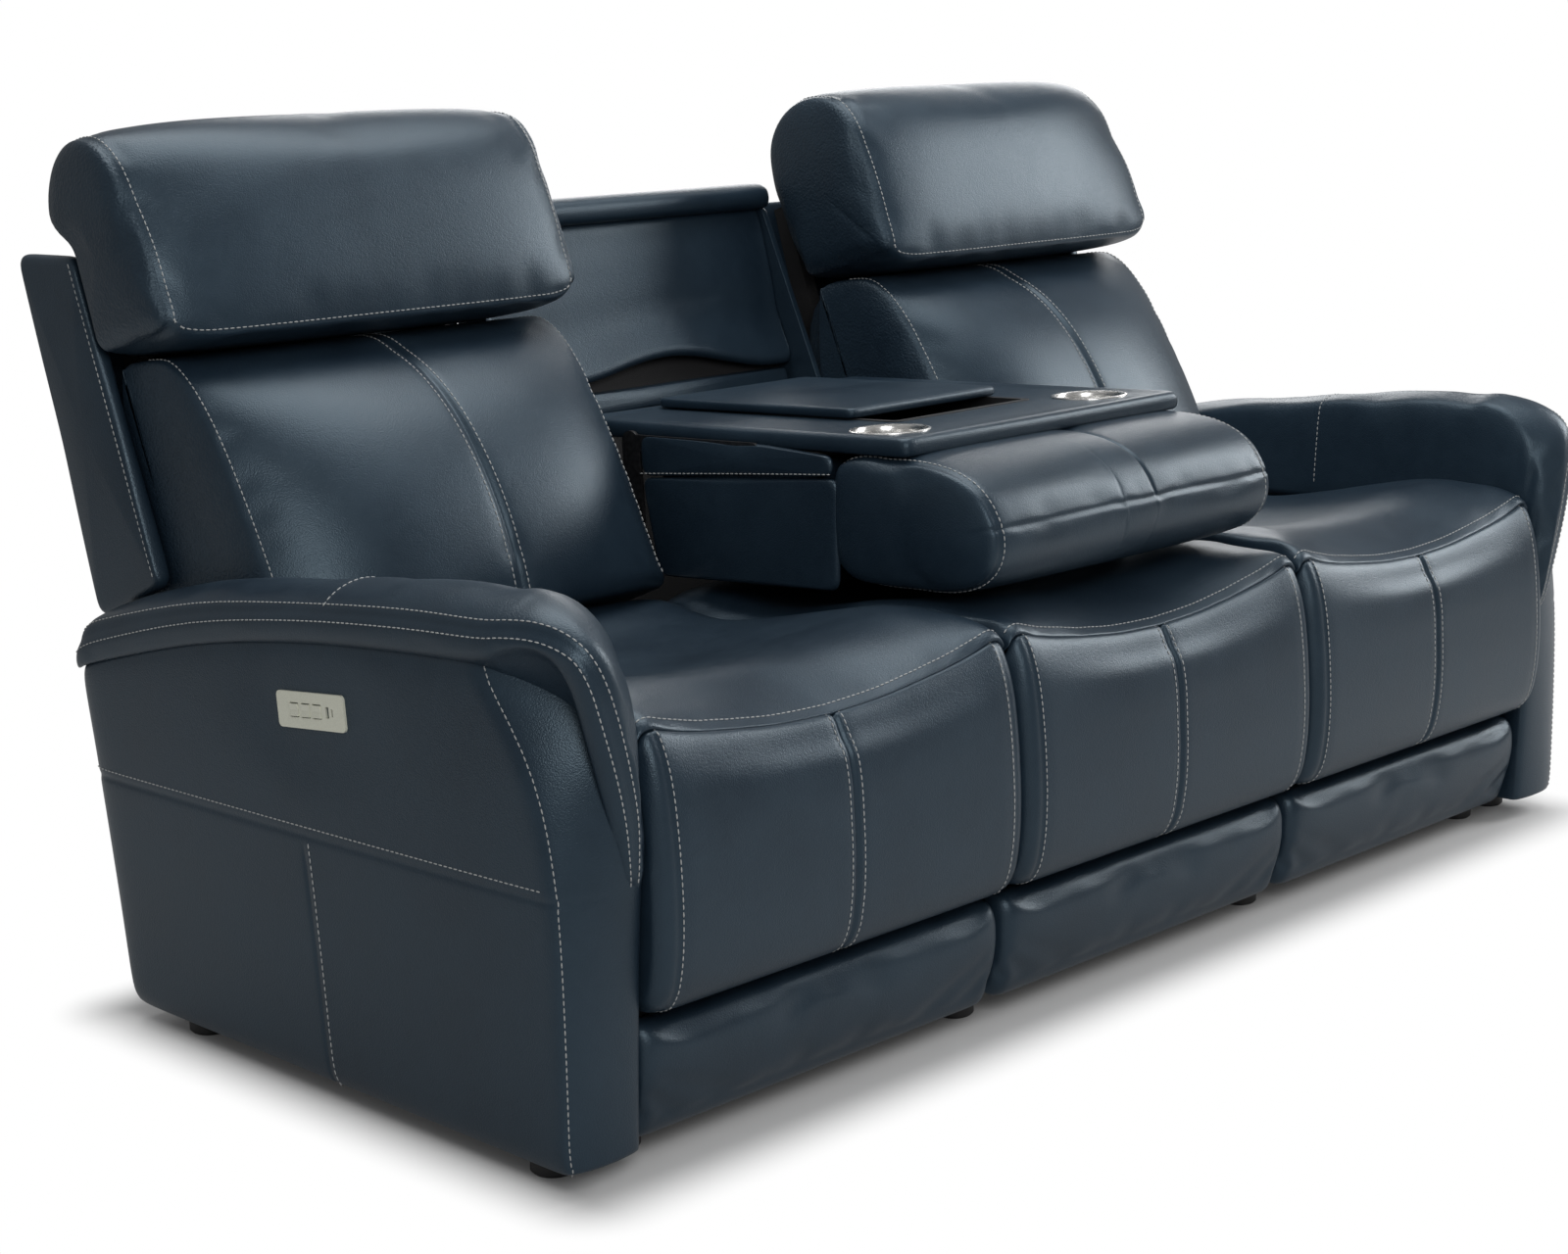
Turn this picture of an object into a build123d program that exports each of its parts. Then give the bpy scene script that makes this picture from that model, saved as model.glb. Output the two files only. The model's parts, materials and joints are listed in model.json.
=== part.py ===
"""Three-seat power reclining sofa with a middle back that folds down into a table.

Millimetres, +Z up, +X to the right of a person facing the sofa's rear, front towards -Y.
The origin is on the floor under the middle of the sofa's outline.
"""

import math
import os

from build123d import *

os.makedirs("parts", exist_ok=True)

# Layout across the sofa
seat_pitch = 614.0  # width of one of the three bays
arm_width = 110.0
unit_gap = 4.0  # a seat stands this far inside each side of its bay
front = -512.3  # Y of the lower front panels, the datum for all depths

# Fits
soft_gap = 0.4  # padding to whatever carries it
run_gap = 0.1  # pin to hole, on the radius
open_gap = 0.4  # at the pivot where the footrest linkage closes
slide_gap = 0.5  # block to track

# Base
foot_height = 28.0
foot_radius = 26.0
rail_height = 60.0
rail_width = 40.0
front_rail_back = 80.0  # front rail's middle, behind the datum
rear_rail_back = 722.0

# Seat decks and seat cushions
deck_under = 306.0
deck_board = 16.0
deck_depth = 566.0
deck_side = 17.0  # deck edge to bay edge
riser_back = 84.0
seat_depth = 640.0
seat_crest = 514.0  # top of the raised side of the bucket, at the front
seat_dip = 468.0  # front edge in the middle of the seat
seat_rear = 468.0
seat_bulge = 34.0

# Front pads, hinged at the knee
board_back = 36.0
board_thick = 14.0
knee_forward = 16.0
knee_z = 398.0
knee_radius = 17.0
knee_rod = 5.0
pad_bottom = 177.0
pad_bulge = 20.0  # beyond the rounding at the knee
panel_top = 165.0
panel_rake = 20.0
footrest_turn = 78.0

# Footrest linkage: the pad, the crank and the connecting link make a parallelogram
steel = 5.0
stack_gap = 2.0
plate_side = 46.0  # mechanism side plate to bay edge
crank_back = 170.0
crank_drop = 31.0  # crank axis below the deck
link_set = 88.0
link_drop = 138.0
link_width = 26.0
pin_radius = 5.0
tube_radius = 12.0
lever_length = 70.0
track_width = 24.0
track_height = 20.0
block_length = 36.0

# Outer backs, drawn in a plane that leans back by back_lean about the recline axis
recline_back = 810.0
recline_z = 370.0
back_lean = 20.0
recline_turn = 38.0
back_height = 615.0
back_rear = 79.0  # rear skin behind the recline axis
back_taper = 0.0526
shell_thick = 30.0
wing_out = 47.0  # wing beyond the arm's inner face
wing_thick = 30.0
wing_front = 78.0
wing_foot = 171.0
neck_side = 6.0  # lower part of the back inside the bay
frame_front = 76.0
frame_step = 426.0  # the back frame is shallower above this
frame_thick = 22.0
cushion_foot = 26.0
cushion_top = 424.0
cushion_crown = 332.0
cushion_edge = 256.0
cushion_side = 4.0  # cushion inside the seat's side
recline_lever = 80.0

# Headrests
head_pivot_front = 185.0
head_pivot_up = 475.0
head_round = 43.0
head_top = 720.0
head_rear = 24.0
motor_radius = 20.0
head_arm_gap = 300.0
head_inner = 10.0  # headrest's inner end to the bay's edge
head_wing = 5.0  # headrest's outer end to the wing
head_swell = 16.0  # fullness of the front face

# Arms
arm_length = 888.0
arm_front_in = 8.0
arm_skin = 14.0
arm_rear_z = 455.0
arm_front_z = 574.0
arm_pad_rise = 60.0
arm_rear_run = 68.0  # the rear edge slopes in by this much at its foot
arm_mid_run = 24.0
arm_mid_z = 319.0
arm_top_bow = 31.0
arm_front_run = 127.0
arm_curve_run = 34.0
arm_edge = 10.0
control_back = 406.0
control_z = 473.0
control_tilt = 6.0
control_long = 124.0
control_high = 42.0
rocker_long = 16.0
rocker_high = 17.0
socket_front = 31.0  # charging socket, ahead of the plate's middle
socket_wide = 6.0
socket_high = 13.0

# Middle table, drawn in the tray's own tilted plane
hinge_back = 663.0
hinge_z = 560.0
table_turn = 102.0
tray_back = 180.0
tray_z = 713.0
tray_tilt = 2.94
tray_length = 610.0
cradle_rear = 470.0  # steel below the tray ends here, and the tray runs on behind it
table_foot = 209.0
tray_half = 284.0
tray_thick = 22.0
bolster_length = 283.0
bolster_height = 166.0
bolster_half = 289.0
cup_radius = 45.0
cup_depth = 72.0
cup_wall = 1.5
cup_side = 205.0
cup_room = 4.0  # hole round a cup, hidden by its rim
bin_room = 2.0
cup_back = 97.0
bin_half = 135.0
bin_front = 150.0
bin_rear = 425.0
bin_depth = 112.0
bin_wall = 3.0
lid_half = 150.0
lid_front = 214.0
lid_thick = 14.0
lid_hinge = 600.0
cradle_thick = 6.0

# Recess behind the table
cheek_thick = 10.0
recess_back = 884.0  # rear panel's face at recess_z
recess_z = 461.0
recess_slope = 0.268
recess_top = 932.0
recess_thick = 30.0
top_rail_front = 988.0
top_rail_depth = 58.0
top_rail_height = 36.0

# What follows from these
bay = 1.5 * seat_pitch
arm_out = bay + arm_width
seat_half = seat_pitch / 2 - unit_gap
deck_half = seat_pitch / 2 - deck_side
rail_top = foot_height + rail_height
rail_mid = foot_height + rail_height / 2
deck_top = deck_under + deck_board
knee_y = front - knee_forward
roll_z = knee_z + knee_radius + 2.5
crank_y = front + crank_back
crank_z = deck_under - crank_drop
recline_y = front + recline_back
units = (-seat_pitch, 0.0, seat_pitch)
plate_in = seat_pitch / 2 - plate_side - steel
crank_in = plate_in - steel - stack_gap
link_in = crank_in - steel - stack_gap
lug_in = link_in - steel - stack_gap


def finish(piece, label):
    """Name a finished piece and write it."""
    piece.part.label = label
    export_step(piece.part, f"parts/{label}.step")


def mirrored(*rows):
    """Rows of a cushion from one side to the other, given from its side to its middle."""
    there = [(-row[0], *row[1:]) for row in rows]
    return there + [row for row in reversed(rows) if row[0] > 0]


def side_plane(x):
    """Plane square to X whose local axes are the sofa's Y and Z."""
    return Plane.YZ.offset(x)


def back_plane(x):
    """Plane square to X on the recline axis: local x to the rear, local y up along the back."""
    lean = math.radians(back_lean)
    return Plane((x, recline_y, recline_z), (0, math.cos(lean), -math.sin(lean)), (1, 0, 0))


def tray_side(x):
    """Plane square to X at the tray's front edge: local x back along the tray, local y up from it."""
    tilt = math.radians(tray_tilt)
    origin = (x, front + tray_back, tray_z)
    return Plane(origin, (0, math.cos(tilt), -math.sin(tilt)), (1, 0, 0))


def tray_top(height):
    """Plane on the tray, a given height above its face."""
    tilt = math.radians(tray_tilt)
    origin = (0, front + tray_back, tray_z)
    return Plane(origin, (1, 0, 0), (0, math.sin(tilt), math.cos(tilt))).offset(height)


def bar(plane, start, end, width, thick):
    """Flat bar with round ends between two points of a plane."""
    run = math.dist(start, end)
    turn = math.degrees(math.atan2(end[1] - start[1], end[0] - start[0]))
    with BuildSketch(plane) as face:
        with Locations(((start[0] + end[0]) / 2, (start[1] + end[1]) / 2)):
            SlotCenterToCenter(run, width, rotation=turn)
    extrude(face.sketch, amount=thick)


def rod(plane, centre, radius, length, mode=Mode.ADD):
    """Round rod, or with Mode.SUBTRACT a bore, square to a plane."""
    with BuildSketch(plane) as face:
        with Locations(centre):
            Circle(radius)
    extrude(face.sketch, amount=length, mode=mode)


def slab(plane, points, thick, mode=Mode.ADD):
    """Straight-sided plate from its corners."""
    with BuildSketch(plane) as face:
        with BuildLine():
            Polyline(*points, close=True)
        make_face()
    extrude(face.sketch, amount=thick, mode=mode)


def block(x, y, z, mode=Mode.ADD):
    """Box between two limits on each axis."""
    with Locations(((x[0] + x[1]) / 2, (y[0] + y[1]) / 2, (z[0] + z[1]) / 2)):
        Box(x[1] - x[0], y[1] - y[0], z[1] - z[0], mode=mode)


# Base: two long rails, cross rails at the bay edges and a bearer for each pair of motors
cross_x = [s * x for s in (-1, 1) for x in (seat_pitch / 2, bay - rail_width / 2 - soft_gap)]
rail_front = front + front_rail_back
rail_rear = front + rear_rail_back
cross_run = (rail_front + rail_width / 2 + soft_gap, rail_rear - rail_width / 2 - soft_gap)
bearer_y = front + 485
bearer_half = (bay - rail_width - seat_pitch / 2 - rail_width / 2) / 2 - 2 * soft_gap
with BuildPart() as base_rails:
    for y in (rail_front, rail_rear):
        long_run = (soft_gap - bay, bay - soft_gap)
        block(long_run, (y - rail_width / 2, y + rail_width / 2), (foot_height, rail_top))
    for x in cross_x:
        block((x - rail_width / 2, x + rail_width / 2), cross_run, (foot_height, rail_top))
    for x in (-1, 1):
        middle = x * (seat_pitch / 2 + rail_width / 2 + soft_gap + bearer_half)
        bearer_run = (bearer_y - rail_width / 2, bearer_y + rail_width / 2)
        block((middle - bearer_half, middle + bearer_half), bearer_run, (foot_height, rail_top))
finish(base_rails, "base_rails")

foot_x = [s * x for s in (-1, 1) for x in (seat_pitch / 2, bay - rail_width, bay + arm_width / 2)]
with BuildPart() as feet:
    with BuildSketch():
        with Locations(*[(x, y) for x in foot_x for y in (rail_front, rail_rear)]):
            Circle(foot_radius)
    extrude(amount=foot_height)
    chamfer(feet.faces().sort_by(Axis.Z)[0:12].edges(), 3)
finish(feet, "feet")


# Arms: hollow upholstered body, board frame inside, padded top that runs down the front
def arm_outline(inset):
    """Side outline of the arm's body, drawn inside by an inset."""
    rear_foot = (front + arm_length - arm_rear_run - inset, foot_height + inset)
    rear_mid = (front + arm_length - arm_mid_run - inset, arm_mid_z)
    rear_top = (front + arm_length - inset * 1.1, arm_rear_z - inset)
    top_mid = (front + 0.56 * arm_length, (arm_rear_z + arm_front_z) / 2 + arm_top_bow - inset)
    top_front = (front + arm_front_run + inset * 0.3, arm_front_z - inset)
    curve_mid = (front + arm_curve_run + inset * 0.8, 0.85 * arm_front_z - inset * 0.4)
    curve_foot = (front - 4 + inset, 0.58 * arm_front_z)
    front_foot = (front - arm_front_in + inset, foot_height + inset)
    Line(front_foot, rear_foot)
    Line(rear_foot, rear_mid)
    Line(rear_mid, rear_top)
    ThreePointArc(rear_top, top_mid, top_front)
    ThreePointArc(top_front, curve_mid, curve_foot)
    Line(curve_foot, front_foot)


def arm_pad_section(x, drop):
    """One cross-section of an arm's padding, lower by a drop towards its sides."""
    rear_low = (front + arm_length, arm_rear_z + soft_gap)
    top_low = (front + 0.56 * arm_length, (arm_rear_z + arm_front_z) / 2 + arm_top_bow + soft_gap)
    front_low = (front + arm_front_run, arm_front_z + soft_gap)
    curve_low = (front + arm_curve_run - soft_gap, 0.85 * arm_front_z + soft_gap)
    tail_low = (front - 4 - soft_gap, 0.58 * arm_front_z)
    tail_tip = (tail_low[0] - 8 + 0.12 * drop, tail_low[1] + 4)
    nose_low = (front - 27 + 0.5 * drop, arm_front_z - 150)
    nose_high = (front + 2 + 0.5 * drop, arm_front_z + 14 - 0.6 * drop)
    front_high = (front + arm_front_run + 3, arm_front_z + arm_pad_rise + 14 - drop)
    top_high = (top_low[0], top_low[1] + arm_pad_rise - drop)
    rear_high = (front + arm_length - 10, arm_rear_z + arm_pad_rise - 7 - drop)
    rear_mid = (front + arm_length + 8 - 0.15 * drop, arm_rear_z + (arm_pad_rise - drop) / 2)
    with BuildSketch(side_plane(x)) as face:
        with BuildLine():
            ThreePointArc(rear_low, top_low, front_low)
            ThreePointArc(front_low, curve_low, tail_low)
            Line(tail_low, tail_tip)
            Line(tail_tip, nose_low)
            ThreePointArc(nose_low, nose_high, front_high)
            ThreePointArc(front_high, top_high, rear_high)
            ThreePointArc(rear_high, rear_mid, rear_low)
        make_face()
    return face.sketch


def control_plane(side, height):
    """Plane on the arm's outer face at the control plate, leaning with the arm's top."""
    tilt = math.radians(control_tilt)
    origin = (side * arm_out, front + control_back, control_z)
    along = (0, side * math.cos(tilt), -side * math.sin(tilt))
    return Plane(origin, along, (side, 0, 0)).offset(height)


box_long = control_long - 16
box_high = control_high - 10
box_deep = 22.0
plate_thick = 3.0
key_step = rocker_long + 5.0
key_first = -key_step - 9.0
rocker_axis = -5.0

for side, name in ((-1, "left"), (1, "right")):
    low = min(side * bay, side * arm_out)
    with BuildPart() as arm_cover:
        with BuildSketch(side_plane(low)):
            with BuildLine():
                arm_outline(0)
            make_face()
        extrude(amount=arm_width)
        outer = arm_cover.faces().sort_by(Axis.X)[0 if side < 0 else -1]
        fillet(outer.edges().filter_by(lambda e: e.center().Z > foot_height + 1), arm_edge)
        with BuildSketch(side_plane(low + arm_skin)):
            with BuildLine():
                arm_outline(arm_skin)
            make_face()
        extrude(amount=arm_width - 2 * arm_skin, mode=Mode.SUBTRACT)
        with BuildSketch(control_plane(side, -2 * arm_skin)):
            Rectangle(box_long + 2 * soft_gap, box_high + 2 * soft_gap)
        extrude(amount=3 * arm_skin, mode=Mode.SUBTRACT)
    finish(arm_cover, f"{name}_arm_cover")

    with BuildPart() as arm_pad:
        middle = side * (bay + arm_width / 2)
        arm_rows = mirrored((1, 37), (0.9, 17), (0.7, 5), (0.3, 0))
        half = arm_width / 2
        loft([arm_pad_section(middle + share * half, drop) for share, drop in arm_rows], ruled=True)
        # the padding narrows towards the inner edge as it runs down the front
        taper = [
            (side * (arm_out + 9), 0.98 * arm_front_z),
            (side * (arm_out + 9), 0.5 * arm_front_z),
            (side * (bay + 22), 0.5 * arm_front_z),
            (side * (bay + 22), 0.6 * arm_front_z),
        ]
        slab(Plane.XZ.offset(60 - front), taper, -110, Mode.SUBTRACT)
    finish(arm_pad, f"{name}_arm_pad")

    with BuildPart() as control_plate:
        with BuildSketch(control_plane(side, 0)):
            RectangleRounded(control_long, control_high, 6)
        extrude(amount=plate_thick)
        with BuildSketch(control_plane(side, -box_deep)):
            Rectangle(box_long, box_high)
        extrude(amount=box_deep)
        with BuildSketch(control_plane(side, 2 - box_deep)):
            Rectangle(box_long - 4, box_high - 4)
        extrude(amount=box_deep - 2, mode=Mode.SUBTRACT)
        keys = [(-side * (key_first + i * key_step), 0) for i in range(3)]
        with BuildSketch(control_plane(side, 0)):
            with Locations(*keys):
                Rectangle(rocker_long, rocker_high)
            with Locations((-side * socket_front, 0)):
                Rectangle(socket_wide, socket_high)
            with Locations((-side * (socket_front + 9), 0)):
                Rectangle(3, 9)
        extrude(amount=plate_thick, mode=Mode.SUBTRACT)
        # ribs beside each window hold the rockers' pins
        ribs = [(-side * (key_first + (i - 0.5) * key_step), 0) for i in range(4)]
        with BuildSketch(control_plane(side, 2 * rocker_axis)):
            with Locations(*ribs):
                Rectangle(key_step - rocker_long, box_high - 4)
        extrude(amount=-2 * rocker_axis)
        seat = control_plane(side, rocker_axis)
        pin_run = Plane(seat.origin, seat.y_dir, seat.x_dir)
        rod(pin_run.offset(-box_long / 2 + 2.5), (0, 0), 1.5 + run_gap / 2, box_long - 5, Mode.SUBTRACT)
        # socket under the narrow slot
        socket = (-side * socket_front, 0)
        with BuildSketch(control_plane(side, -12)):
            with Locations(socket):
                Rectangle(socket_wide + 4, socket_high + 4)
        extrude(amount=12)
        with BuildSketch(control_plane(side, -10)):
            with Locations(socket):
                Rectangle(socket_wide, socket_high)
        extrude(amount=12 + plate_thick, mode=Mode.SUBTRACT)
    finish(control_plate, f"{name}_control_plate")

    for i, key in enumerate(("headrest", "recline", "footrest")):
        place = -side * (key_first + i * key_step)
        seat = control_plane(side, 0)
        start = seat.origin + seat.x_dir * (place - rocker_long / 2 + 0.4)
        profile = Plane(start, seat.z_dir * -1, seat.x_dir)
        half = rocker_high / 2 - 1.4
        with BuildPart() as rocker:
            face = [(7, -half), (-plate_thick - 1.6, -half), (-plate_thick - 0.4, 0)]
            face += [(-plate_thick - 1.6, half), (7, half)]
            slab(profile, face, rocker_long - 0.8)
            rod(profile.offset(-1.9), (-rocker_axis, 0), 1.5, rocker_long - 0.8 + 3.8)
        finish(rocker, f"{name}_{key}_switch")

spreader_wide = 40.0
with BuildPart() as arm_frames:
    for side in (-1, 1):
        low = min(side * bay, side * arm_out)
        room = arm_width - 2 * arm_skin
        for x in (low + arm_skin + soft_gap, low + arm_width - arm_skin - soft_gap - 15):
            with BuildSketch(side_plane(x)):
                with BuildLine():
                    arm_outline(arm_skin + soft_gap)
                make_face()
            extrude(amount=15)
        spread = (low + arm_skin + 1, low + arm_skin + room - 1)
        for share in (0.135, 0.484, 0.83):
            start = front + share * arm_length
            block(spread, (start, start + spreader_wide), (foot_height + arm_skin + 1, 0.66 * arm_front_z))
    for side in (-1, 1):
        with BuildSketch(control_plane(side, -2.5 * arm_skin)):
            Rectangle(box_long + 4, box_high + 4)
        extrude(amount=2 * arm_skin, mode=Mode.SUBTRACT)
finish(arm_frames, "arm_frames")


# Seats: bucket-shaped cushions, higher at the sides, with a roll over the front edge
def seat_section(x, crest, rear, bulge):
    """One cross-section of a seat cushion."""
    back = front + riser_back + deck_board + soft_gap
    rear_y = front + seat_depth
    under = (front - 8, roll_z)
    top = (front + 14, crest)
    crown = (front + 0.48 * seat_depth, (crest + rear) / 2 - 4)
    rear_top = (rear_y - 70, rear)
    rear_low = (rear_y, rear - 46)
    with BuildSketch(side_plane(x)) as face:
        with BuildLine():
            Line((back, deck_top + soft_gap), (back, roll_z))
            Line((back, roll_z), under)
            ThreePointArc(under, (front - bulge, (roll_z + crest) / 2 - 4), top)
            ThreePointArc(top, crown, rear_top)
            ThreePointArc(rear_top, (rear_y - 18, rear - 16), rear_low)
            Line(rear_low, (rear_y, deck_top + soft_gap))
            Line((rear_y, deck_top + soft_gap), (back, deck_top + soft_gap))
        make_face()
    return face.sketch


seat_rows = mirrored(
    (1.0, seat_crest - 32, seat_rear - 24, seat_bulge - 20),
    (0.95, seat_crest - 9, seat_rear - 2, seat_bulge - 10),
    (0.85, seat_crest, seat_rear + 8, seat_bulge - 5),
    (0.5, seat_dip + 13, seat_rear + 3, seat_bulge - 1),
    (0.0, seat_dip, seat_rear, seat_bulge),
)
for unit, name in zip(units, ("left", "middle", "right")):
    with BuildPart() as seat_cushion:
        loft([seat_section(unit + row[0] * seat_half, *row[1:]) for row in seat_rows], ruled=True)
    finish(seat_cushion, f"{name}_seat_cushion")

# Decks: a board with a front riser; the outer ones have the knee lugs, the middle one stands on legs
lug_side = 200.0
lug_thick = 10.0
board_y = (front + board_back, front + board_back + board_thick)
riser_y = (front + riser_back, front + riser_back + deck_board)
deck_y = (front + riser_back, front + riser_back + deck_depth)
riser_top = roll_z - 4.0
board_z = (foot_height + 4, knee_z - 18)
with BuildPart() as seat_decks:
    for unit in units:
        width = (unit - deck_half, unit + deck_half)
        block(width, deck_y, (deck_under, deck_top))
        block(width, riser_y, (deck_under, riser_top))
    for unit in (units[0], units[2]):
        for x in (-lug_side - lug_thick, lug_side):
            with BuildSketch(side_plane(unit + x)):
                with Locations(((knee_y + riser_y[0]) / 2, knee_z)):
                    Rectangle(riser_y[0] - knee_y, 24)
                with Locations((knee_y, knee_z)):
                    Circle(12)
                    Circle(knee_rod + run_gap, mode=Mode.SUBTRACT)
            extrude(amount=lug_thick)
    block((-deck_half, deck_half), riser_y, (rail_top, deck_under))
    leg_y = (rail_rear - rail_width / 2, rail_rear - rail_width / 2 + deck_board)
    block((-deck_half, deck_half), leg_y, (rail_top, deck_top))
    block((-deck_half, deck_half), (deck_y[1], leg_y[1]), (deck_under, deck_top))
    block((-deck_half, deck_half), board_y, board_z)
    block((-deck_half, deck_half), (board_y[1], riser_y[0]), (board_z[1] - 20, board_z[1]))
finish(seat_decks, "seat_decks")


# Front pads: the upper one crowned and rounded about the knee, the lower one plain and raked
def pad_section(x, radius, bulge, drop):
    """One cross-section of the upper front pad."""
    rear = front + board_back - soft_gap
    foot = pad_bottom + drop
    nose = (knee_y - radius, knee_z)
    low = (knee_y - radius + 10, foot + 22)
    with BuildSketch(side_plane(x)) as face:
        with BuildLine():
            Line((rear, knee_z + radius - 6), (knee_y, knee_z + radius))
            diagonal = radius * math.sqrt(0.5)
            ThreePointArc((knee_y, knee_z + radius), (knee_y - diagonal, knee_z + diagonal), nose)
            ThreePointArc(nose, (knee_y - radius - bulge, (knee_z + foot) / 2 + 10), low)
            ThreePointArc(low, (knee_y - radius + 22, foot + 5), (knee_y + 14, foot))
            Line((knee_y + 14, foot), (rear, foot))
            Line((rear, foot), (rear, knee_z + radius - 6))
        make_face()
    return face.sketch


def panel_section(x, inset):
    """One cross-section of the lower front panel."""
    rear = front + board_back - soft_gap
    top = panel_top - inset
    low = foot_height + inset / 2
    face_top = (front + inset, top - 12)
    face_low = (front + panel_rake + inset / 2, low + 6)
    face_mid = (front + panel_rake / 2 - 5 + inset, (top + low) / 2)
    with BuildSketch(side_plane(x)) as face:
        with BuildLine():
            Line((rear, top), (front + 14 + inset, top))
            ThreePointArc((front + 14 + inset, top), (front + 4 + inset, top - 3.5), face_top)
            ThreePointArc(face_top, face_mid, face_low)
            Line(face_low, (face_low[0] + 6, low))
            Line((face_low[0] + 6, low), (rear, low))
            Line((rear, low), (rear, top))
        make_face()
    return face.sketch


def upper_pad(unit):
    """Upper front pad of one bay, with the shallow channel of its middle seam."""
    bulge = pad_bulge - 14
    rows = mirrored(
        (1, knee_radius - 11, bulge - 4, 10),
        (0.95, knee_radius - 5, bulge - 1, 4),
        (0.85, knee_radius - 1, bulge, 1),
        (0.04, knee_radius, bulge, 0),
        (0, knee_radius - 3.5, bulge, 2),
    )
    loft([pad_section(unit + row[0] * seat_half, *row[1:]) for row in rows], ruled=True)


def lower_panel(unit):
    """Lower front panel of one bay."""
    rows = mirrored((1, 6), (0.95, 1), (0, 0))
    loft([panel_section(unit + share * seat_half, inset) for share, inset in rows], ruled=True)


with BuildPart() as middle_pads:
    upper_pad(0)
    lower_panel(0)
finish(middle_pads, "middle_front_pads")

# Mechanism side plates: they stand on the rails, carry the deck and hold the crank and back pivots
with BuildPart() as mechanism_plates:
    for unit in (units[0], units[2]):
        for side in (-1, 1):
            low = unit + (plate_in if side > 0 else -plate_in - steel)
            y0 = rail_front - rail_width / 2 + 4
            y1 = rail_rear + rail_width / 2 - 4
            outline = [(y0, rail_top), (y1, rail_top), (y1, deck_under - 60)]
            outline += [(recline_y + 19, recline_z - 10)]
            outline += [(recline_y - 12, recline_z + 18), (y1 - 48, deck_under), (y0, deck_under)]
            slab(side_plane(low), outline, steel)
            rod(side_plane(low), (recline_y, recline_z), 22, steel)
            rod(side_plane(low), (recline_y, recline_z), 7 + run_gap, steel, Mode.SUBTRACT)
            with BuildSketch(side_plane(low)):
                window_z = (rail_top + deck_under) / 2
                with Locations((front + 350, window_z), (front + 560, window_z)):
                    SlotOverall(150, 90)
            extrude(amount=steel, mode=Mode.SUBTRACT)
            pin = plate_in - crank_in + 4
            rod(side_plane(low if side < 0 else low - pin), (crank_y, crank_z), 6, pin + steel)
finish(mechanism_plates, "mechanism_plates")

# Motors: each has a box, a track and feet on the rails; a drive block runs on the track
half_turn = math.radians(footrest_turn / 2)
lever_tip = (crank_y + lever_length * math.sin(half_turn), crank_z - lever_length * math.cos(half_turn))
fork_low = crank_z - lever_length
foot_track = fork_low - 45
recline_tip = (recline_y, recline_z - recline_lever)
recline_track = recline_tip[1] - 54
foot_motor = (front + 430, front + 538)
back_motor = (front + 548, front + 640)
motor_half = 36.0
motor_drop = 34.0
motor_rise = 46.0
with BuildPart() as seat_motors:
    for unit in (units[0], units[2]):
        across = (unit - track_width / 2, unit + track_width / 2)
        block(across, (rail_front - 12, foot_motor[0]), (foot_track, foot_track + track_height))
        block(across, (rail_front - 12, rail_front + 12), (rail_top, foot_track))
        box_x = (unit - motor_half, unit + motor_half)
        block(box_x, foot_motor, (foot_track - motor_drop, foot_track + motor_rise))
        block((unit - 18, unit + 18), (bearer_y - 16, bearer_y + 16), (rail_top, foot_track - motor_drop))
        block(across, (back_motor[1], recline_y + 20), (recline_track, recline_track + track_height))
        block(across, (rail_rear - 18, rail_rear + 14), (rail_top, recline_track))
        block(box_x, back_motor, (recline_track - motor_drop, recline_track + motor_rise))
finish(seat_motors, "seat_motors")


def drive_block(unit, middle, track, fork):
    """Saddle on a motor's track with a slotted fork for the lever's pin."""
    run = (middle - block_length / 2, middle + block_length / 2)
    outer = track_width / 2 + 7
    block((unit - outer, unit + outer), run, (track - 7, fork - 16))
    clear = (track - slide_gap, track + track_height + slide_gap)
    bore = track_width / 2 + slide_gap
    block((unit - bore, unit + bore), run, clear, Mode.SUBTRACT)
    for x in (unit - 16, unit + 7):
        block((x, x + 9), run, (fork - 16, fork + 30))
        slot = pin_radius + 2.2
        block((x, x + 9), (middle - slot, middle + slot), (fork - 8, fork + 24), Mode.SUBTRACT)


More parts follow.
